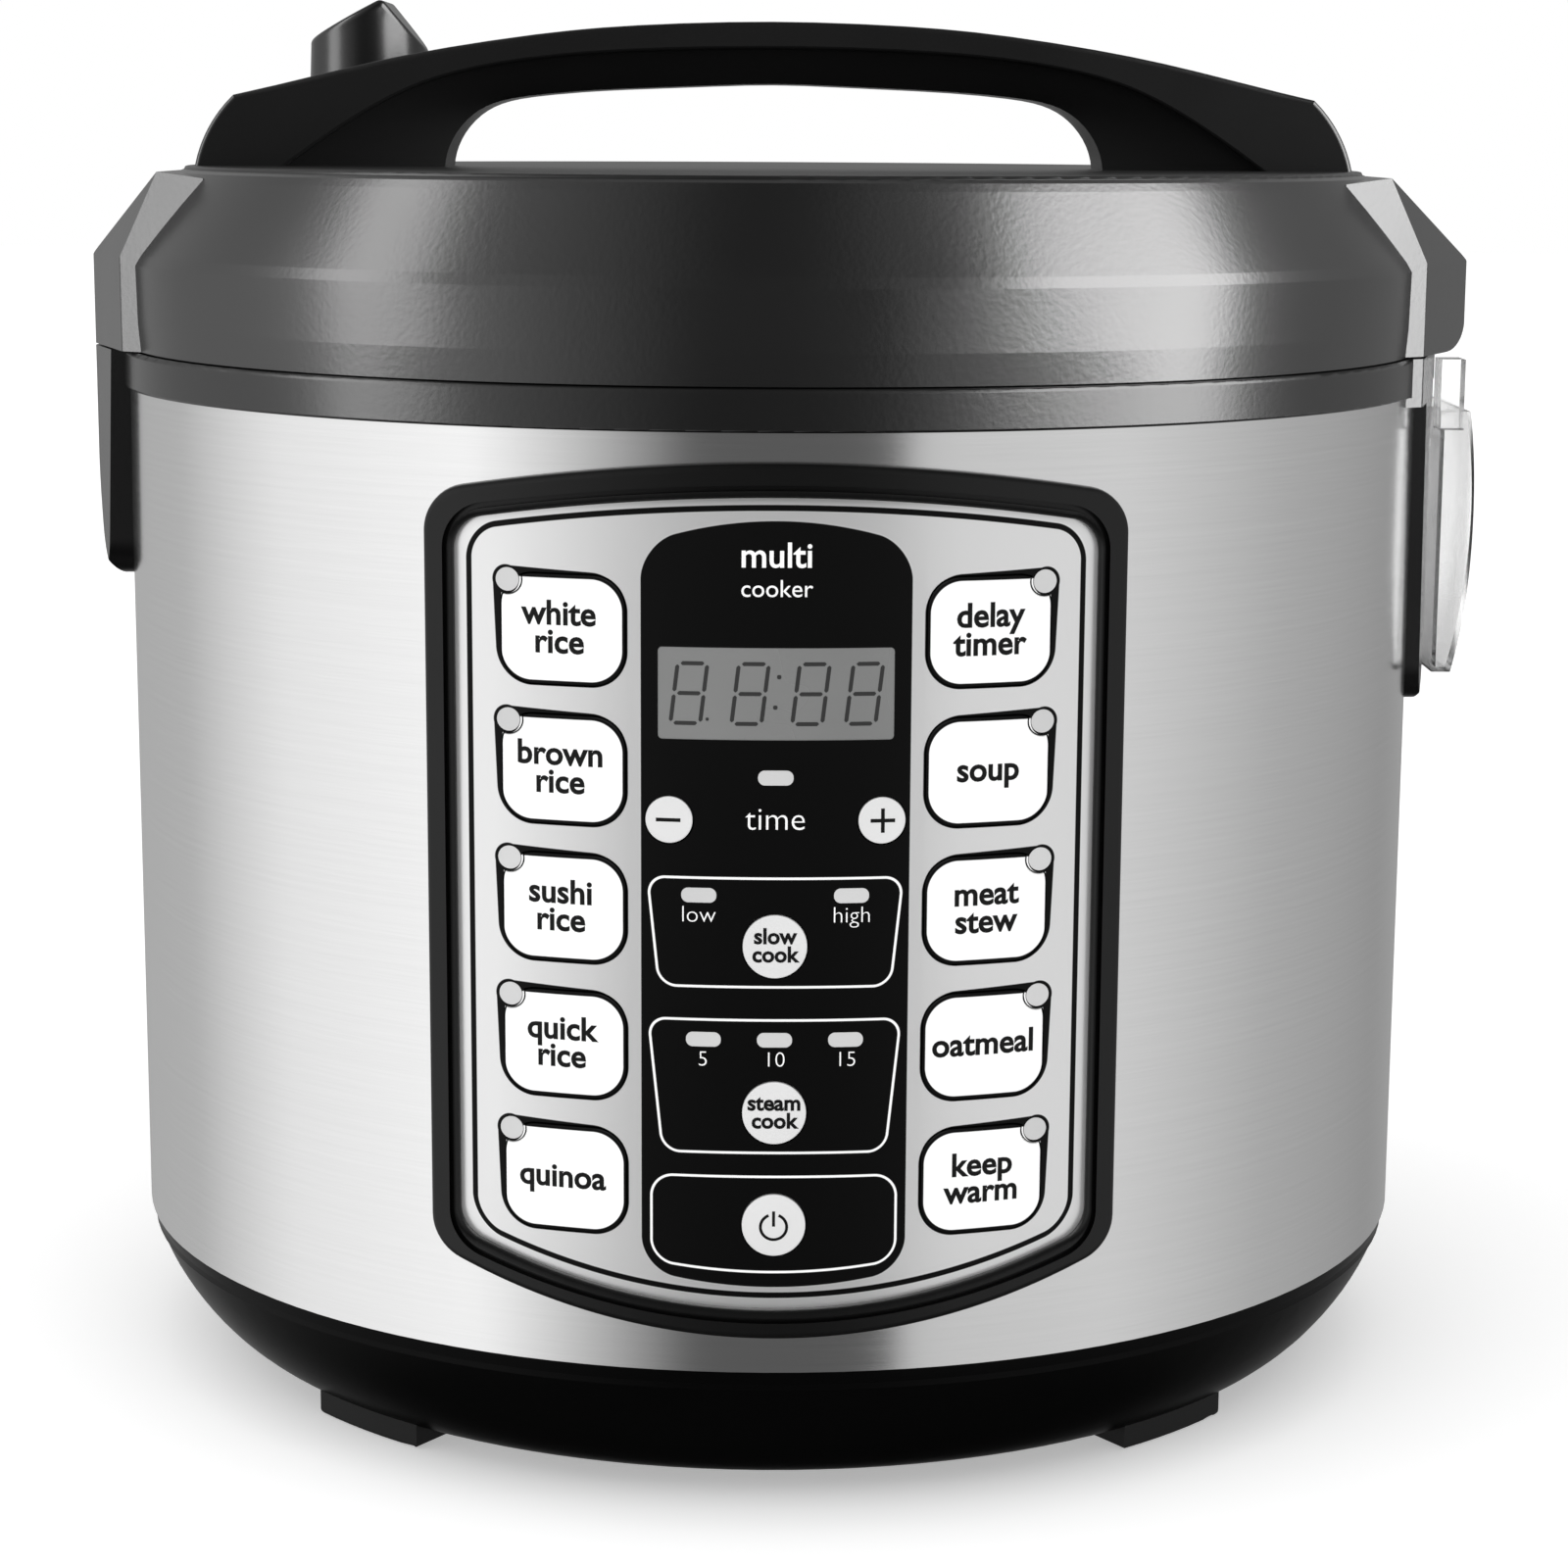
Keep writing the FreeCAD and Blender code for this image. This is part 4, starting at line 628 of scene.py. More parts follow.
    def material(self, patterns: Patterns) -> bpy.types.Material:
        """Build the material.

        Args:
            patterns: The shared node groups.

        Returns:
            The finished material.
        """
        material, g, shader = begin_material(self.name)
        spot = g.node("ShaderNodeGroup", node_tree=patterns.drum_map)
        around, height = spot.outputs["Around"], spot.outputs["Height"]
        field_mask = self.edge(g, self.centre.distance(g, patterns, around, height))
        border = self.line(g, self.border.distance(g, patterns, around, height), self.border_line)
        key_ink, white = self.key_masks(g, around, height)
        ink = g.math("MAXIMUM", g.math("MAXIMUM", border, field_mask), key_ink)
        for box in self.boxes:
            drawn = self.line(g, box.distance(g, patterns, around, height), self.box_line)
            white = g.math("MAXIMUM", white, g.math("MULTIPLY", drawn, field_mask))
        grain = g.use(patterns.grain, Scale=2500.0, Drift=12.0)
        dark, light = grey(self.silver * self.silver_dark), grey(self.silver * self.silver_light)
        colour = g.mix(ink, g.mix(grain.outputs["Tone"], dark, light), grey(self.ink))
        g.feed(shader.inputs["Base Color"], g.mix(white, colour, grey(self.white)))
        printed = g.math("MAXIMUM", ink, white)
        metallic = g.math("MULTIPLY_ADD", printed, -self.silver_metallic, self.silver_metallic)
        g.feed(shader.inputs["Metallic"], metallic)
        rough = g.math("MULTIPLY_ADD", printed, self.print_roughness, self.roughness)
        g.feed(shader.inputs["Roughness"], rough)
        shader.inputs["Specular IOR Level"].default_value = self.specular
        bump_into(g, shader, grain.outputs["Height"], self.grain_mm)
        return material


@dataclass(frozen=True)
class CircuitBoard:
    """Green lacquered board with faint tracks."""

    name: str

    def material(self, patterns: Patterns) -> bpy.types.Material:
        """Build the material.

        Args:
            patterns: The shared node groups.

        Returns:
            The finished material.
        """
        material, g, shader = begin_material(self.name)
        place = g.node("ShaderNodeTexCoord")
        tracks = g.node("ShaderNodeTexBrick")
        g.feed(tracks.inputs["Vector"], place.outputs["Object"])
        tracks.inputs["Scale"].default_value = 160.0
        tracks.inputs["Mortar Size"].default_value = 0.03
        tracks.inputs["Color1"].default_value = (0.02, 0.12, 0.05, 1)
        tracks.inputs["Color2"].default_value = (0.02, 0.10, 0.045, 1)
        tracks.inputs["Mortar"].default_value = (0.05, 0.22, 0.09, 1)
        g.feed(shader.inputs["Base Color"], tracks.outputs["Color"])
        shader.inputs["Roughness"].default_value = 0.35
        return material


class Finish(Enum):
    """Every finish on the cooker."""

    DRUM_STEEL = BrushedSteel("drum_steel_brushed", 0.80, 0.17)
    LID_CHARCOAL = MouldedPlastic("lid_charcoal_grain", 0.003, 0.25, 0.022, 900.0, 0.8)
    RING_CHARCOAL = MouldedPlastic("ring_charcoal_grain", 0.003, 0.26, 0.022, 900.0, 0.55)
    HANDLE_BLACK = MouldedPlastic("handle_black_satin", 0.003, 0.26, 0.008, 1200.0, 0.5)
    TOP_PLATE = MouldedPlastic("top_plate_matt", 0.004, 0.34, 0.010, 1100.0, 0.4)
    BASE_BLACK = MouldedPlastic("base_black_satin", 0.002, 0.30, 0.004, 1300.0, 0.06)
    FOOT_RUBBER = MouldedPlastic("foot_rubber", 0.012, 0.7, 0.02, 900.0, 0.3)
    BEZEL_BLACK = MouldedPlastic("bezel_black", 0.006, 0.33, 0.006, 1100.0, 0.3)
    SWITCH_BLACK = MouldedPlastic("switch_black", 0.015, 0.45)
    BUTTON_GREY = MouldedPlastic("round_button_grey", 0.62, 0.35, 0.003, 1600.0)
    LAMP_GREY = MouldedPlastic("lamp_lens_grey", 0.52, 0.30, 0.002, 1600.0)
    INK_BLACK = MouldedPlastic("ink_black", 0.003, 0.45, 0.001, 1400.0, 0.2)
    INK_WHITE = MouldedPlastic("ink_white", 0.85, 0.5, 0.001)
    DISPLAY_GREY = MouldedPlastic("display_grey", 0.18, 0.28, 0.002, 900.0, 0.5, (1.0, 1.01, 1.0))
    SEGMENT_DARK = MouldedPlastic("display_segment", 0.030, 0.4, 0.001, 1400.0, 0.2)
    SILICONE = MouldedPlastic("silicone_grey", 0.55, 0.5, 0.006, 700.0)
    ALUMINIUM = PlainMetal("spun_aluminium", 0.72, 0.32)
    CAST_ALUMINIUM = PlainMetal("cast_aluminium", 0.55, 0.45)
    CHAMBER_STEEL = PlainMetal("chamber_steel", 0.55, 0.3)
    SCREW_STEEL = PlainMetal("screw_steel", 0.5, 0.25)
    POT_COATING = PlainMetal("pot_coating", 0.07, 0.38, 0.25, 140.0)
    CLEAR = ClearPlastic("clear_cup", 0.97, 0.10)
    BOARD = CircuitBoard("circuit_board")
    PANEL = PanelPrint("panel_print")


class Wardrobe:
    """Builds each finish once and puts it on nodes and pieces."""

    def __init__(self) -> None:
        """Make the shared patterns and an empty store of materials."""
        self.patterns = Patterns()
        self.made: dict[Finish, bpy.types.Material] = {}

    def get(self, finish: Finish) -> bpy.types.Material:
        """Give a finish's material, building it at its first use."""
        if finish not in self.made:
            self.made[finish] = finish.value.material(self.patterns)
        return self.made[finish]

    def dress_node(self, node: str, finish: Finish) -> None:
        """Put a finish on every slot of a CAD node.

        Args:
            node: The CAD node's name.
            finish: What it is finished with.
        """
        for slot in frame["nodes"][node].material_slots:
            slot.material = self.get(finish)

    def dress_piece(self, piece: bpy.types.Object, finish: Finish, body: str, slot: str) -> None:
        """Finish a new piece and let it ride on its body.

        Args:
            piece: The modelled piece.
            finish: What it is finished with.
            body: The CAD body that carries it.
            slot: The record's material slot; not used.
        """
        piece.data.materials.clear()
        piece.data.materials.append(self.get(finish))
        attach(piece, body)


# --------------------------------------------------------------------------------------
# Modelling helpers
# --------------------------------------------------------------------------------------
def deselect() -> None:
    """Leave edit mode and clear the selection."""
    if bpy.context.object and bpy.context.object.mode != "OBJECT":
        bpy.ops.object.mode_set(mode="OBJECT")
    bpy.ops.object.select_all(action="DESELECT")


def settle(piece: bpy.types.Object, name: str) -> bpy.types.Object:
    """Name a piece and put its place in its mesh.

    Args:
        piece: The active, selected piece.
        name: Its new name.

    Returns:
        The same piece.
    """
    piece.name = name
    piece.data.name = name
    bpy.ops.object.transform_apply(location=True, rotation=True, scale=True)
    return piece


def wrap(piece: bpy.types.Object, s: float, z: float, radius: float, slant: float = 0.0) -> None:
    """Bend a flat piece drawn in mm on the XY plane onto the drum.

    Args:
        piece: A mesh whose X runs round the drum and Y up it.
        s: Arc length of its middle.
        z: Height of its middle.
        radius: Radius of the surface that it lies on.
        slant: Sideways lean per mm of height.
    """
    for vertex in piece.data.vertices:
        x, y, lift = vertex.co
        angle = (s + x + slant * y) / DRUM_R
        reach = (radius + lift) * MM
        vertex.co = Vector((reach * math.sin(angle), -reach * math.cos(angle), (z + y) * MM))
    piece.data.update()


def raise_ink() -> None:
    """Thicken the selected flat faces into ink and leave edit mode."""
    bpy.ops.mesh.extrude_region_move(TRANSFORM_OT_translate={"value": (0, 0, INK_MM)})
    bpy.ops.mesh.select_all(action="SELECT")
    bpy.ops.mesh.normals_make_consistent(inside=False)
    bpy.ops.object.mode_set(mode="OBJECT")


@dataclass
class Letters:
    """Printed words, drawn as thin raised ink."""

    wardrobe: Wardrobe
    middle_share: float = 0.26

    def word(self, name: str, text: str, size: float, s: float, z: float, radius: float, finish: Finish,
             body: str, weight: float = 0.0) -> bpy.types.Object:
        """Print one line of text on the drum.

        Args:
            name: The piece's name.
            text: What it says.
            size: Letter size in mm.
            s: Arc length of its middle.
            z: Height of its middle.
            radius: Radius of the surface under it.
            finish: The ink.
            body: The body that carries it.
            weight: Extra stroke width in mm.

        Returns:
            The printed piece.
        """
        deselect()
        bpy.ops.object.text_add(location=(0, 0, 0))
        piece = bpy.context.object
        piece.data.body = text
        piece.data.size = size
        piece.data.align_x = "CENTER"
        piece.data.offset = weight
        piece.data.extrude = INK_MM / 2
        piece.data.resolution_u = 4
        bpy.ops.object.convert(target="MESH")
        piece = bpy.context.object
        settle(piece, name)
        for vertex in piece.data.vertices:
            vertex.co.y -= size * self.middle_share
            vertex.co.z += INK_MM / 2
        wrap(piece, s, z, radius)
        self.wardrobe.dress_piece(piece, finish, body, INK_SLOT)
        return piece


# --------------------------------------------------------------------------------------
# Sub-assemblies
# --------------------------------------------------------------------------------------
@dataclass
class Housing:
    """Drum, base, lid, lugs and everything inside, dressed as packed."""

    wardrobe: Wardrobe
    finishes: dict[str, Finish] = field(default_factory=lambda: {
        "base_pan": Finish.BASE_BLACK,
        "feet": Finish.FOOT_RUBBER,
        "base_screws": Finish.SCREW_STEEL,
        "chamber_supports": Finish.CAST_ALUMINIUM,
        "steel_wrap": Finish.DRUM_STEEL,
        "body_ring": Finish.RING_CHARCOAL,
        "inner_chamber": Finish.CHAMBER_STEEL,
        "heating_plate": Finish.CAST_ALUMINIUM,
        "heating_tube": Finish.CHAMBER_STEEL,
        "plate_legs": Finish.CAST_ALUMINIUM,
        "thermal_fuse": Finish.SCREW_STEEL,
        "sensor_bracket": Finish.CHAMBER_STEEL,
        "thermal_sensor": Finish.ALUMINIUM,
        "sensor_spring": Finish.SCREW_STEEL,
        "inner_pot": Finish.POT_COATING,
        "control_board": Finish.BOARD,
        "key_switches": Finish.SWITCH_BLACK,
        "power_board": Finish.BOARD,
        "power_inlet": Finish.BEZEL_BLACK,
        "inlet_pins": Finish.SCREW_STEEL,
        "latch_housing": Finish.LID_CHARCOAL,
        "release_button": Finish.HANDLE_BLACK,
        "latch_hook": Finish.SWITCH_BLACK,
        "hinge_base": Finish.LID_CHARCOAL,
        "hinge_tongue": Finish.LID_CHARCOAL,
        "hinge_pin": Finish.SCREW_STEEL,
        "condensation_cup": Finish.CLEAR,
        "lid_shell": Finish.LID_CHARCOAL,
        "lid_top_plate": Finish.TOP_PLATE,
        "lid_keeper": Finish.SCREW_STEEL,
        "carry_handle": Finish.HANDLE_BLACK,
        "handle_screws": Finish.SCREW_STEEL,
        "lid_liner": Finish.SWITCH_BLACK,
        "inner_lid_plate": Finish.ALUMINIUM,
        "lid_gasket": Finish.SILICONE,
        "inner_lid_grommet": Finish.SILICONE,
        "vent_seat": Finish.SWITCH_BLACK,
        "vent_cap": Finish.HANDLE_BLACK,
    })

    def dress(self) -> None:
        """Put each node's finish on it."""
        for node, finish in self.finishes.items():
            self.wardrobe.dress_node(node, finish)
            LOG.info("dressed %s", node)


@dataclass(frozen=True)
class CentreWord:
    """A word of the centre field: its name, text, size, place, stroke width and body, in mm."""

    name: str
    text: str
    size: float
    s: float
    z: float
    weight: float = -0.07
    body: str = FIXED_BODY


@dataclass(frozen=True)
class Digits:
    """Sizes of the display's slanted seven-segment digits, in mm."""

    places: tuple[float, ...] = (-16.1, -4.8, 6.4, 16.3)
    middle: float = 162.9
    half_w: float = 2.75
    half_h: float = 5.6
    slant: float = 0.12
    level: tuple[float, float] = (4.3, 0.75)
    upright: tuple[float, float] = (5.0, 0.75)
    cut: float = 0.3
    sunk: float = 0.1
    colon_s: float = 0.15
    colon_z: tuple[float, float] = (160.4, 166.1)
    colon: tuple[float, float] = (0.8, 0.8)
    colon_cut: float = 0.2
    point_s: float = -12.7
    point_z: float = 158.1
    point: tuple[float, float] = (0.6, 0.6)
    point_cut: float = 0.15


@dataclass(frozen=True)
class Signs:
    """Sizes of the signs on the round keys, in mm."""

    side_s: float = 19.9
    side_z: float = 139.0
    stroke: tuple[float, float] = (4.6, 0.7)
    power_z: float = 60.6
    power_stroke: tuple[float, float] = (3.0, 0.55)
    power_stroke_z: float = 62.2
    power_r: float = 2.75
    power_hole: float = 0.8
    power_gap: float = 1.05
    power_points: int = 48


@dataclass
class ControlPanel:
    """Bezel, printed overlay, display, lamps, keys and their words."""

    wardrobe: Wardrobe
    line_gap: float = 5.3
    word_size: float = 6.4
    word_weight: float = 0.16
    word_left: float = 0.3
    left_words: tuple[tuple[str, ...], ...] = (
        ("white", "rice"), ("brown", "rice"), ("sushi", "rice"), ("quick", "rice"), ("quinoa",),
    )
    right_words: tuple[tuple[str, ...], ...] = (
        ("delay", "timer"), ("soup",), ("meat", "stew"), ("oatmeal",), ("keep", "warm"),
    )
    centre_words: tuple[CentreWord, ...] = (
        CentreWord("time", "time", 6.3, 0.0, 139.0),
        CentreWord("low", "low", 4.5, -14.3, 120.8),
        CentreWord("high", "high", 4.5, 14.3, 120.8),
        CentreWord("minutes_5", "5", 4.2, -13.4, 93.0),
        CentreWord("minutes_10", "10", 4.2, 0.0, 93.0),
        CentreWord("minutes_15", "15", 4.2, 13.4, 93.0),
        CentreWord("slow_top", "slow", 4.2, 0.0, 116.85, 0.13, "key_slow_body"),
        CentreWord("slow_cook", "cook", 4.2, 0.0, 113.35, 0.13, "key_slow_body"),
        CentreWord("steam_top", "steam", 4.2, 0.0, 84.65, 0.13, "key_steam_body"),
        CentreWord("steam_cook", "cook", 4.2, 0.0, 81.15, 0.13, "key_steam_body"),
        CentreWord("badge_top", "multi", 6.6, 0.0, 188.2, 0.08),
        CentreWord("badge_low", "cooker", 4.6, 0.0, 182.2, 0.0),
    )
    digits: Digits = Digits()
    signs: Signs = Signs()

    def dress(self) -> None:
        """Finish the CAD nodes of the panel."""
        put = self.wardrobe.dress_node
        put("control_bezel", Finish.BEZEL_BLACK)
        put("control_panel", Finish.PANEL)
        put("display_lens", Finish.DISPLAY_GREY)
        put("display_module", Finish.SWITCH_BLACK)
        put("led_lenses", Finish.LAMP_GREY)
        for side in ("left", "right"):
            for row in range(KEY_ROWS):
                put(f"key_{side}_{row + 1}", Finish.PANEL)
        for name in ("key_minus", "key_plus", "key_slow", "key_steam", "key_power"):
            put(name, Finish.BUTTON_GREY)

    @staticmethod
    def front_nodes() -> list[str]:
        """List the CAD nodes that make the panel's face."""
        keys = [name for name in frame["nodes"] if name.startswith("key_") and name != "key_switches"]
        return ["control_panel", "display_lens", "led_lenses"] + keys

    def print_keys(self, letters: Letters) -> None:
        """Print the two columns' words, each on its own key.

        Args:
            letters: The printer of words.
        """
        for side, sign, words in (("left", -1, self.left_words), ("right", 1, self.right_words)):
            for row, lines in enumerate(words):
                top = KEY_TOP_Z - row * KEY_PITCH + (len(lines) - 1) * self.line_gap / 2
                for number, text in enumerate(lines):
                    letters.word(f"words_{side}_{row + 1}_{number + 1}", text, self.word_size,
                                 sign * KEY_S - self.word_left, top - number * self.line_gap, KEY_FACE_R,
                                 Finish.INK_BLACK, f"key_{side}_{row + 1}_body", self.word_weight)

    def print_centre(self, letters: Letters) -> None:
        """Print the centre field's words: white on the field, black on the round keys.

        Args:
            letters: The printer of words.
        """
        for word in self.centre_words:
            fixed = word.body == FIXED_BODY
            radius = PANEL_FACE_R if fixed else KEY_FACE_R
            ink = Finish.INK_WHITE if fixed else Finish.INK_BLACK
            letters.word(f"words_{word.name}", word.text, word.size, word.s, word.z, radius, ink, word.body,
                         word.weight)

    def bar(self, name: str, size: tuple[float, float], s: float, z: float, radius: float, finish: Finish,
            body: str, slant: float = 0.0, point: float = 0.0, turned: bool = False) -> bpy.types.Object:
        """Make one thin printed bar, with pointed or square ends.

        Args:
            name: The piece's name.
            size: Length and thickness in mm.
            s: Arc length of its middle.
            z: Height of its middle.
            radius: Radius of the surface under it.
            finish: Its ink.
            body: The body that carries it.
            slant: Sideways lean per mm of height.
            point: Cut at its corners in mm.
            turned: Stand it upright.

        Returns:
            The bar.
        """
        deselect()
        bpy.ops.mesh.primitive_plane_add(size=1.0, location=(0, 0, 0))
        piece = bpy.context.object
        piece.scale = (size[0], size[1], 1.0)
        bpy.ops.object.transform_apply(location=True, rotation=True, scale=True)
        bpy.ops.object.mode_set(mode="EDIT")
        bpy.ops.mesh.select_all(action="SELECT")
        if point:
            bpy.ops.mesh.bevel(offset=point, affect="VERTICES")
            bpy.ops.mesh.select_all(action="SELECT")
        if turned:
            bpy.ops.transform.rotate(value=math.pi / 2, orient_axis="Z", center_override=(0, 0, 0))
        raise_ink()
        settle(piece, name)
        wrap(piece, s, z, radius, slant)
        self.wardrobe.dress_piece(piece, finish, body, INK_SLOT)
        return piece

    def draw_digits(self) -> None:
        """Draw the four slanted seven-segment digits, the colon and the point."""
        d = self.digits
        dark = partial(self.bar, radius=PANEL_FACE_R - d.sunk, finish=Finish.SEGMENT_DARK, body=FIXED_BODY)
        for number, s in enumerate(d.places):
            for row, up in enumerate((-d.half_h, 0.0, d.half_h)):
                dark(f"segment_{number}_level_{row}", d.level, s + d.slant * up, d.middle + up,
                     slant=d.slant, point=d.cut)
            for column, side in enumerate((-d.half_w, d.half_w)):
                for row, up in enumerate((-d.half_h / 2, d.half_h / 2)):
                    dark(f"segment_{number}_upright_{column}_{row}", d.upright, s + side + d.slant * up,
                         d.middle + up, slant=d.slant, point=d.cut, turned=True)
        for number, z in enumerate(d.colon_z):
            s = d.colon_s + d.slant * (z - d.middle)
            dark(f"segment_colon_{number}", d.colon, s, z, point=d.colon_cut)
        dark("segment_point", d.point, d.point_s, d.point_z, point=d.point_cut)

    def draw_symbols(self) -> None:
        """Draw the minus, plus and power signs on their round keys."""
        n = self.signs
        ink = partial(self.bar, radius=KEY_FACE_R, finish=Finish.INK_BLACK)
        ink("sign_minus", n.stroke, -n.side_s, n.side_z, body="key_minus_body")
        ink("sign_plus_level", n.stroke, n.side_s, n.side_z, body="key_plus_body")
        ink("sign_plus_upright", n.stroke, n.side_s, n.side_z, body="key_plus_body", turned=True)
        ink("sign_power_upright", n.power_stroke, 0.0, n.power_stroke_z, body="key_power_body", turned=True)
        deselect()
        bpy.ops.mesh.primitive_circle_add(
            vertices=n.power_points, radius=n.power_r, fill_type="NOTHING", location=(0, 0, 0),
        )
        ring = bpy.context.object
        bpy.ops.object.mode_set(mode="EDIT")
        bpy.ops.mesh.select_all(action="SELECT")
        bpy.ops.mesh.extrude_edges_move()
        bpy.ops.transform.resize(value=(n.power_hole, n.power_hole, 1.0), center_override=(0, 0, 0))
        bpy.ops.mesh.select_all(action="DESELECT")
        bpy.ops.object.mode_set(mode="OBJECT")
        for face in ring.data.polygons:
            face.select = abs(face.center.x) < n.power_gap and face.center.y > 0
        bpy.ops.object.mode_set(mode="EDIT")
        bpy.ops.mesh.delete(type="FACE")
        bpy.ops.mesh.select_all(action="SELECT")
        raise_ink()
        settle(ring, "sign_power_ring")
        wrap(ring, 0.0, n.power_z, KEY_FACE_R)
        self.wardrobe.dress_piece(ring, Finish.INK_BLACK, "key_power_body", INK_SLOT)

    def build(self, letters: Letters) -> None:
        """Make everything on the panel.

        Args:
            letters: The printer of words.
        """
        self.dress()
        self.print_keys(letters)
        self.print_centre(letters)
        self.draw_digits()
        self.draw_symbols()
        LOG.info("control panel printed")


def place_new(name: str, data: bpy.types.ID) -> bpy.types.Object:
    """Make a camera or lamp from its data and put it in the scene."""
    made = bpy.data.objects.new(name, data)
    bpy.context.scene.collection.objects.link(made)
    return made


def light_group(name: str, things: list[bpy.types.Object]) -> bpy.types.Collection:
    """Gather the things that a lamp may light."""
    group = bpy.data.collections.new(name)
    for thing in things:
        group.objects.link(thing)
    return group


@dataclass(frozen=True)
class Sun:
    """A broad soft light far away that lights chosen things only, its angles in degrees."""

    name: str
    tilt_right: float
    tilt_back: float
    power: float
    spread: float

    def hang(self, lit: list[bpy.types.Object]) -> None:
        """Hang the light.

        Args:
            lit: What it lights.
        """
        data = bpy.data.lights.new(self.name, "SUN")
        data.energy = self.power
        data.angle = math.radians(self.spread)
        lamp = place_new(self.name, data)
        lamp.rotation_euler = (math.radians(-self.tilt_back), math.radians(self.tilt_right), 0.0)
        lamp.light_linking.receiver_collection = light_group(f"lit_by_{self.name}", lit)


@dataclass(frozen=True)
class Surround:
    """Light of the surround by direction, and how it dims overhead and underfoot."""

    stops: tuple[tuple[float, float], ...] = (
        (-180, 0.40), (-125, 0.54), (-94, 1.00), (-52, 1.20), (-14, 0.12), (21, 0.12), (23, 0.70),
        (62, 0.78), (98, 0.50), (140, 0.34), (180, 0.40),
    )
    high_from: float = 0.45
    high_soft: float = 0.1
    high_slope: float = -1.3
    high_start: float = 1.58
    low_from: float = -0.35
    low_slope: float = 2.2
    low_start: float = 1.77
    dimmest: float = 0.04
    backdrop: float = 1.0

    def fill_ramp(self, ramp: bpy.types.ColorRamp) -> None:
        """Set a ramp's stops; its first two are there already.

        Args:
            ramp: The ramp, which runs from straight behind, round past the left, front and right.
        """
        for number, (degrees, level) in enumerate(self.stops):
            spot = (degrees + 180) / 360
            element = ramp.elements[number] if number < 2 else ramp.elements.new(spot)
            element.position = spot
            element.color = grey(level)

    def build(self) -> None:
        """Make the world that lights the cooker, with a plain white backdrop."""
        world = bpy.data.worlds.new("surround")
        world.use_nodes = True
        world.node_tree.nodes.clear()
        bpy.context.scene.world = world
        g = Graph(world.node_tree)
        place = g.node("ShaderNodeTexCoord")
        parts = g.node("ShaderNodeSeparateXYZ")
        g.feed(parts.inputs[0], place.outputs["Generated"])
        turn = g.math("ARCTAN2", parts.outputs[0], g.math("MULTIPLY", parts.outputs[1], -1.0))
        ramp = g.node("ShaderNodeValToRGB")
        g.feed(ramp.inputs[0], g.math("MULTIPLY_ADD", turn, 0.5 / math.pi, 0.5))
        self.fill_ramp(ramp.color_ramp)
        height = parts.outputs[2]
        high = g.math("SMOOTH_MAX", height, self.high_from, self.high_soft)
        above = g.math("MULTIPLY_ADD", high, self.high_slope, self.high_start)
        low = g.math("MINIMUM", height, self.low_from)
        below = g.math("MULTIPLY_ADD", low, self.low_slope, self.low_start)
        reach = g.limit(g.math("MINIMUM", above, below), self.dimmest, 1.0)
        seen = g.node("ShaderNodeLightPath")
        level = g.node("ShaderNodeMix", data_type="FLOAT")
        g.feed(level.inputs["Factor"], seen.outputs["Is Camera Ray"])
        g.feed(level.inputs[2], g.math("MULTIPLY", ramp.outputs[0], reach))
        g.feed(level.inputs[3], self.backdrop)
        back = g.node("ShaderNodeBackground")
        g.feed(back.inputs["Color"], grey(1.0))
        g.feed(back.inputs["Strength"], level.outputs[0])
        out = g.node("ShaderNodeOutputWorld")
        g.feed(out.inputs[0], back.outputs[0])


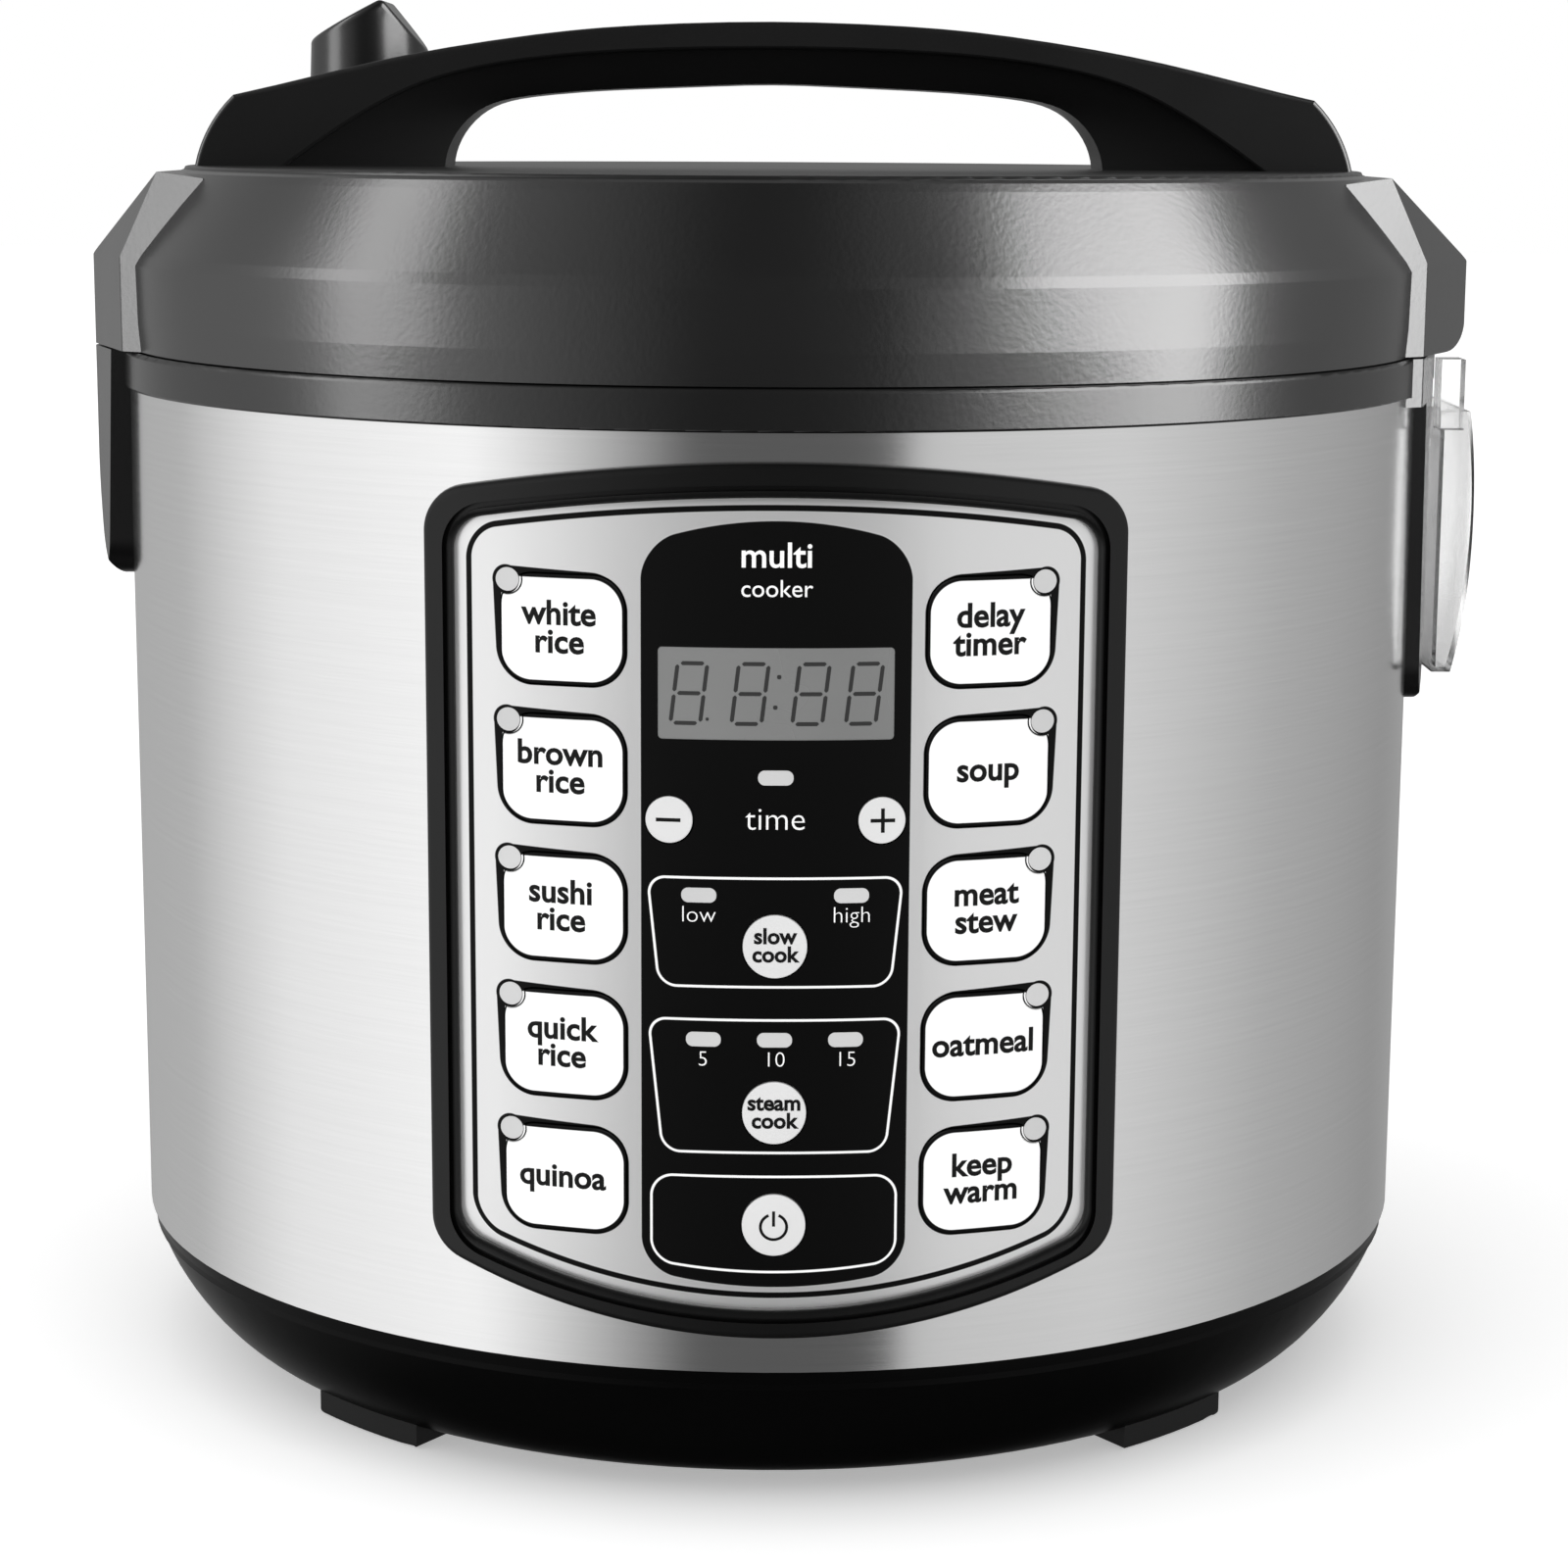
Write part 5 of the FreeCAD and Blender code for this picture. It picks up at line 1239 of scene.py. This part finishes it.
@dataclass
class Studio:
    """Camera, floor, surround, suns and two strip lights for the mouldings."""

    camera_mm: tuple[float, float, float] = (3.0, -789.0, 266.1)
    pitch_deg: float = 10.49
    roll_deg: float = 0.318
    swing_deg: float = -0.6
    lens_mm: float = 81.6
    sensor_mm: float = 36.0
    near_m: float = 0.01
    far_m: float = 50.0
    floor_m: float = 14.0
    floor_drop_m: float = 0.0002
    floor_glow: float = 0.40
    overhead: Sun = Sun("overhead", 0.0, -12.0, 1.5, 75.0)
    panel_fill: Sun = Sun("panel_fill", -6.0, -52.0, 1.85, 40.0)
    surround: Surround = Surround()
    strips: tuple[tuple[float, float, float], ...] = ((-79.5, 0.85, 39.0), (66.5, 1.85, 165.0))
    strip_lean_deg: float = 21.0
    strip_tall_m: float = 3.0
    strip_away_m: float = 2.0
    strip_up_m: float = 1.35
    lit_by_strips: tuple[str, ...] = (
        "lid_shell", "body_ring", "carry_handle", "vent_cap", "latch_housing", "hinge_tongue", "hinge_base",
        "lid_top_plate", "release_button",
    )

    def add_camera(self) -> None:
        """Place the camera, then roll it about its own axis."""
        data = bpy.data.cameras.new("camera")
        data.lens = self.lens_mm
        data.sensor_width = self.sensor_mm
        data.clip_start = self.near_m
        data.clip_end = self.far_m
        camera = place_new("camera", data)
        swing = Matrix.Rotation(math.radians(self.swing_deg), 4, "Z")
        aim = Matrix.Rotation(math.radians(90.0 - self.pitch_deg), 4, "X")
        roll = Matrix.Rotation(math.radians(self.roll_deg), 4, "Z")
        spot = Matrix.Translation(Vector(self.camera_mm) * MM)
        camera.matrix_world = swing @ spot @ aim @ roll
        bpy.context.scene.camera = camera

    def add_floor(self) -> None:
        """Lay a pale floor that mirrors keep out of."""
        deselect()
        bpy.ops.mesh.primitive_plane_add(size=self.floor_m, location=(0, 0, -self.floor_drop_m))
        floor = bpy.context.object
        floor.name = "floor"
        material, g, shader = begin_material("floor_white")
        g.feed(shader.inputs["Base Color"], grey(0.9))
        g.feed(shader.inputs["Roughness"], 0.9)
        g.feed(shader.inputs["Specular IOR Level"], 0.0)
        g.feed(shader.inputs["Emission Color"], grey(1.0))
        g.feed(shader.inputs["Emission Strength"], self.floor_glow)
        floor.data.materials.append(material)
        floor.visible_glossy = False
        self.overhead.hang([floor])

    def add_strips(self) -> None:
        """Hang a tall strip light on each side that lights the dark mouldings only."""
        lit = light_group("mouldings", [frame["nodes"][node] for node in self.lit_by_strips])
        for number, (turn, width, power) in enumerate(self.strips):
            data = bpy.data.lights.new(f"strip_{number}", "AREA")
            data.shape = "RECTANGLE"
            data.size = width
            data.size_y = self.strip_tall_m
            data.energy = power
            lamp = place_new(f"strip_{number}", data)
            bearing = math.radians(turn)
            away = Vector((math.sin(bearing), -math.cos(bearing), 0.0)) * self.strip_away_m
            lamp.location = away + Vector((0.0, 0.0, self.strip_up_m))
            aim = (-away).to_track_quat("-Z", "Y").to_matrix()
            lean = Matrix.Rotation(math.radians(-math.copysign(self.strip_lean_deg, turn)), 3, "Z")
            lamp.rotation_euler = (aim @ lean).to_euler()
            lamp.light_linking.receiver_collection = lit

    def build(self) -> None:
        """Set up the whole studio but the panel's fill light."""
        self.add_camera()
        self.add_floor()
        self.surround.build()
        self.add_strips()
        bpy.context.scene.view_settings.view_transform = "Standard"
        LOG.info("studio ready")


def write_sizes() -> None:
    bpy.context.view_layer.update()


def main() -> None:
    """Build every sub-assembly in order."""
    logging.basicConfig(level=logging.INFO)
    wardrobe = Wardrobe()
    studio = Studio()
    studio.build()
    Housing(wardrobe).dress()
    before = set(bpy.data.objects)
    panel = ControlPanel(wardrobe)
    panel.build(Letters(wardrobe))
    printed = [piece for piece in bpy.data.objects if piece not in before]
    faces = [frame["nodes"][node] for node in panel.front_nodes()]
    studio.panel_fill.hang(printed + faces)
    write_sizes()


if __name__ == "__main__":
    main()
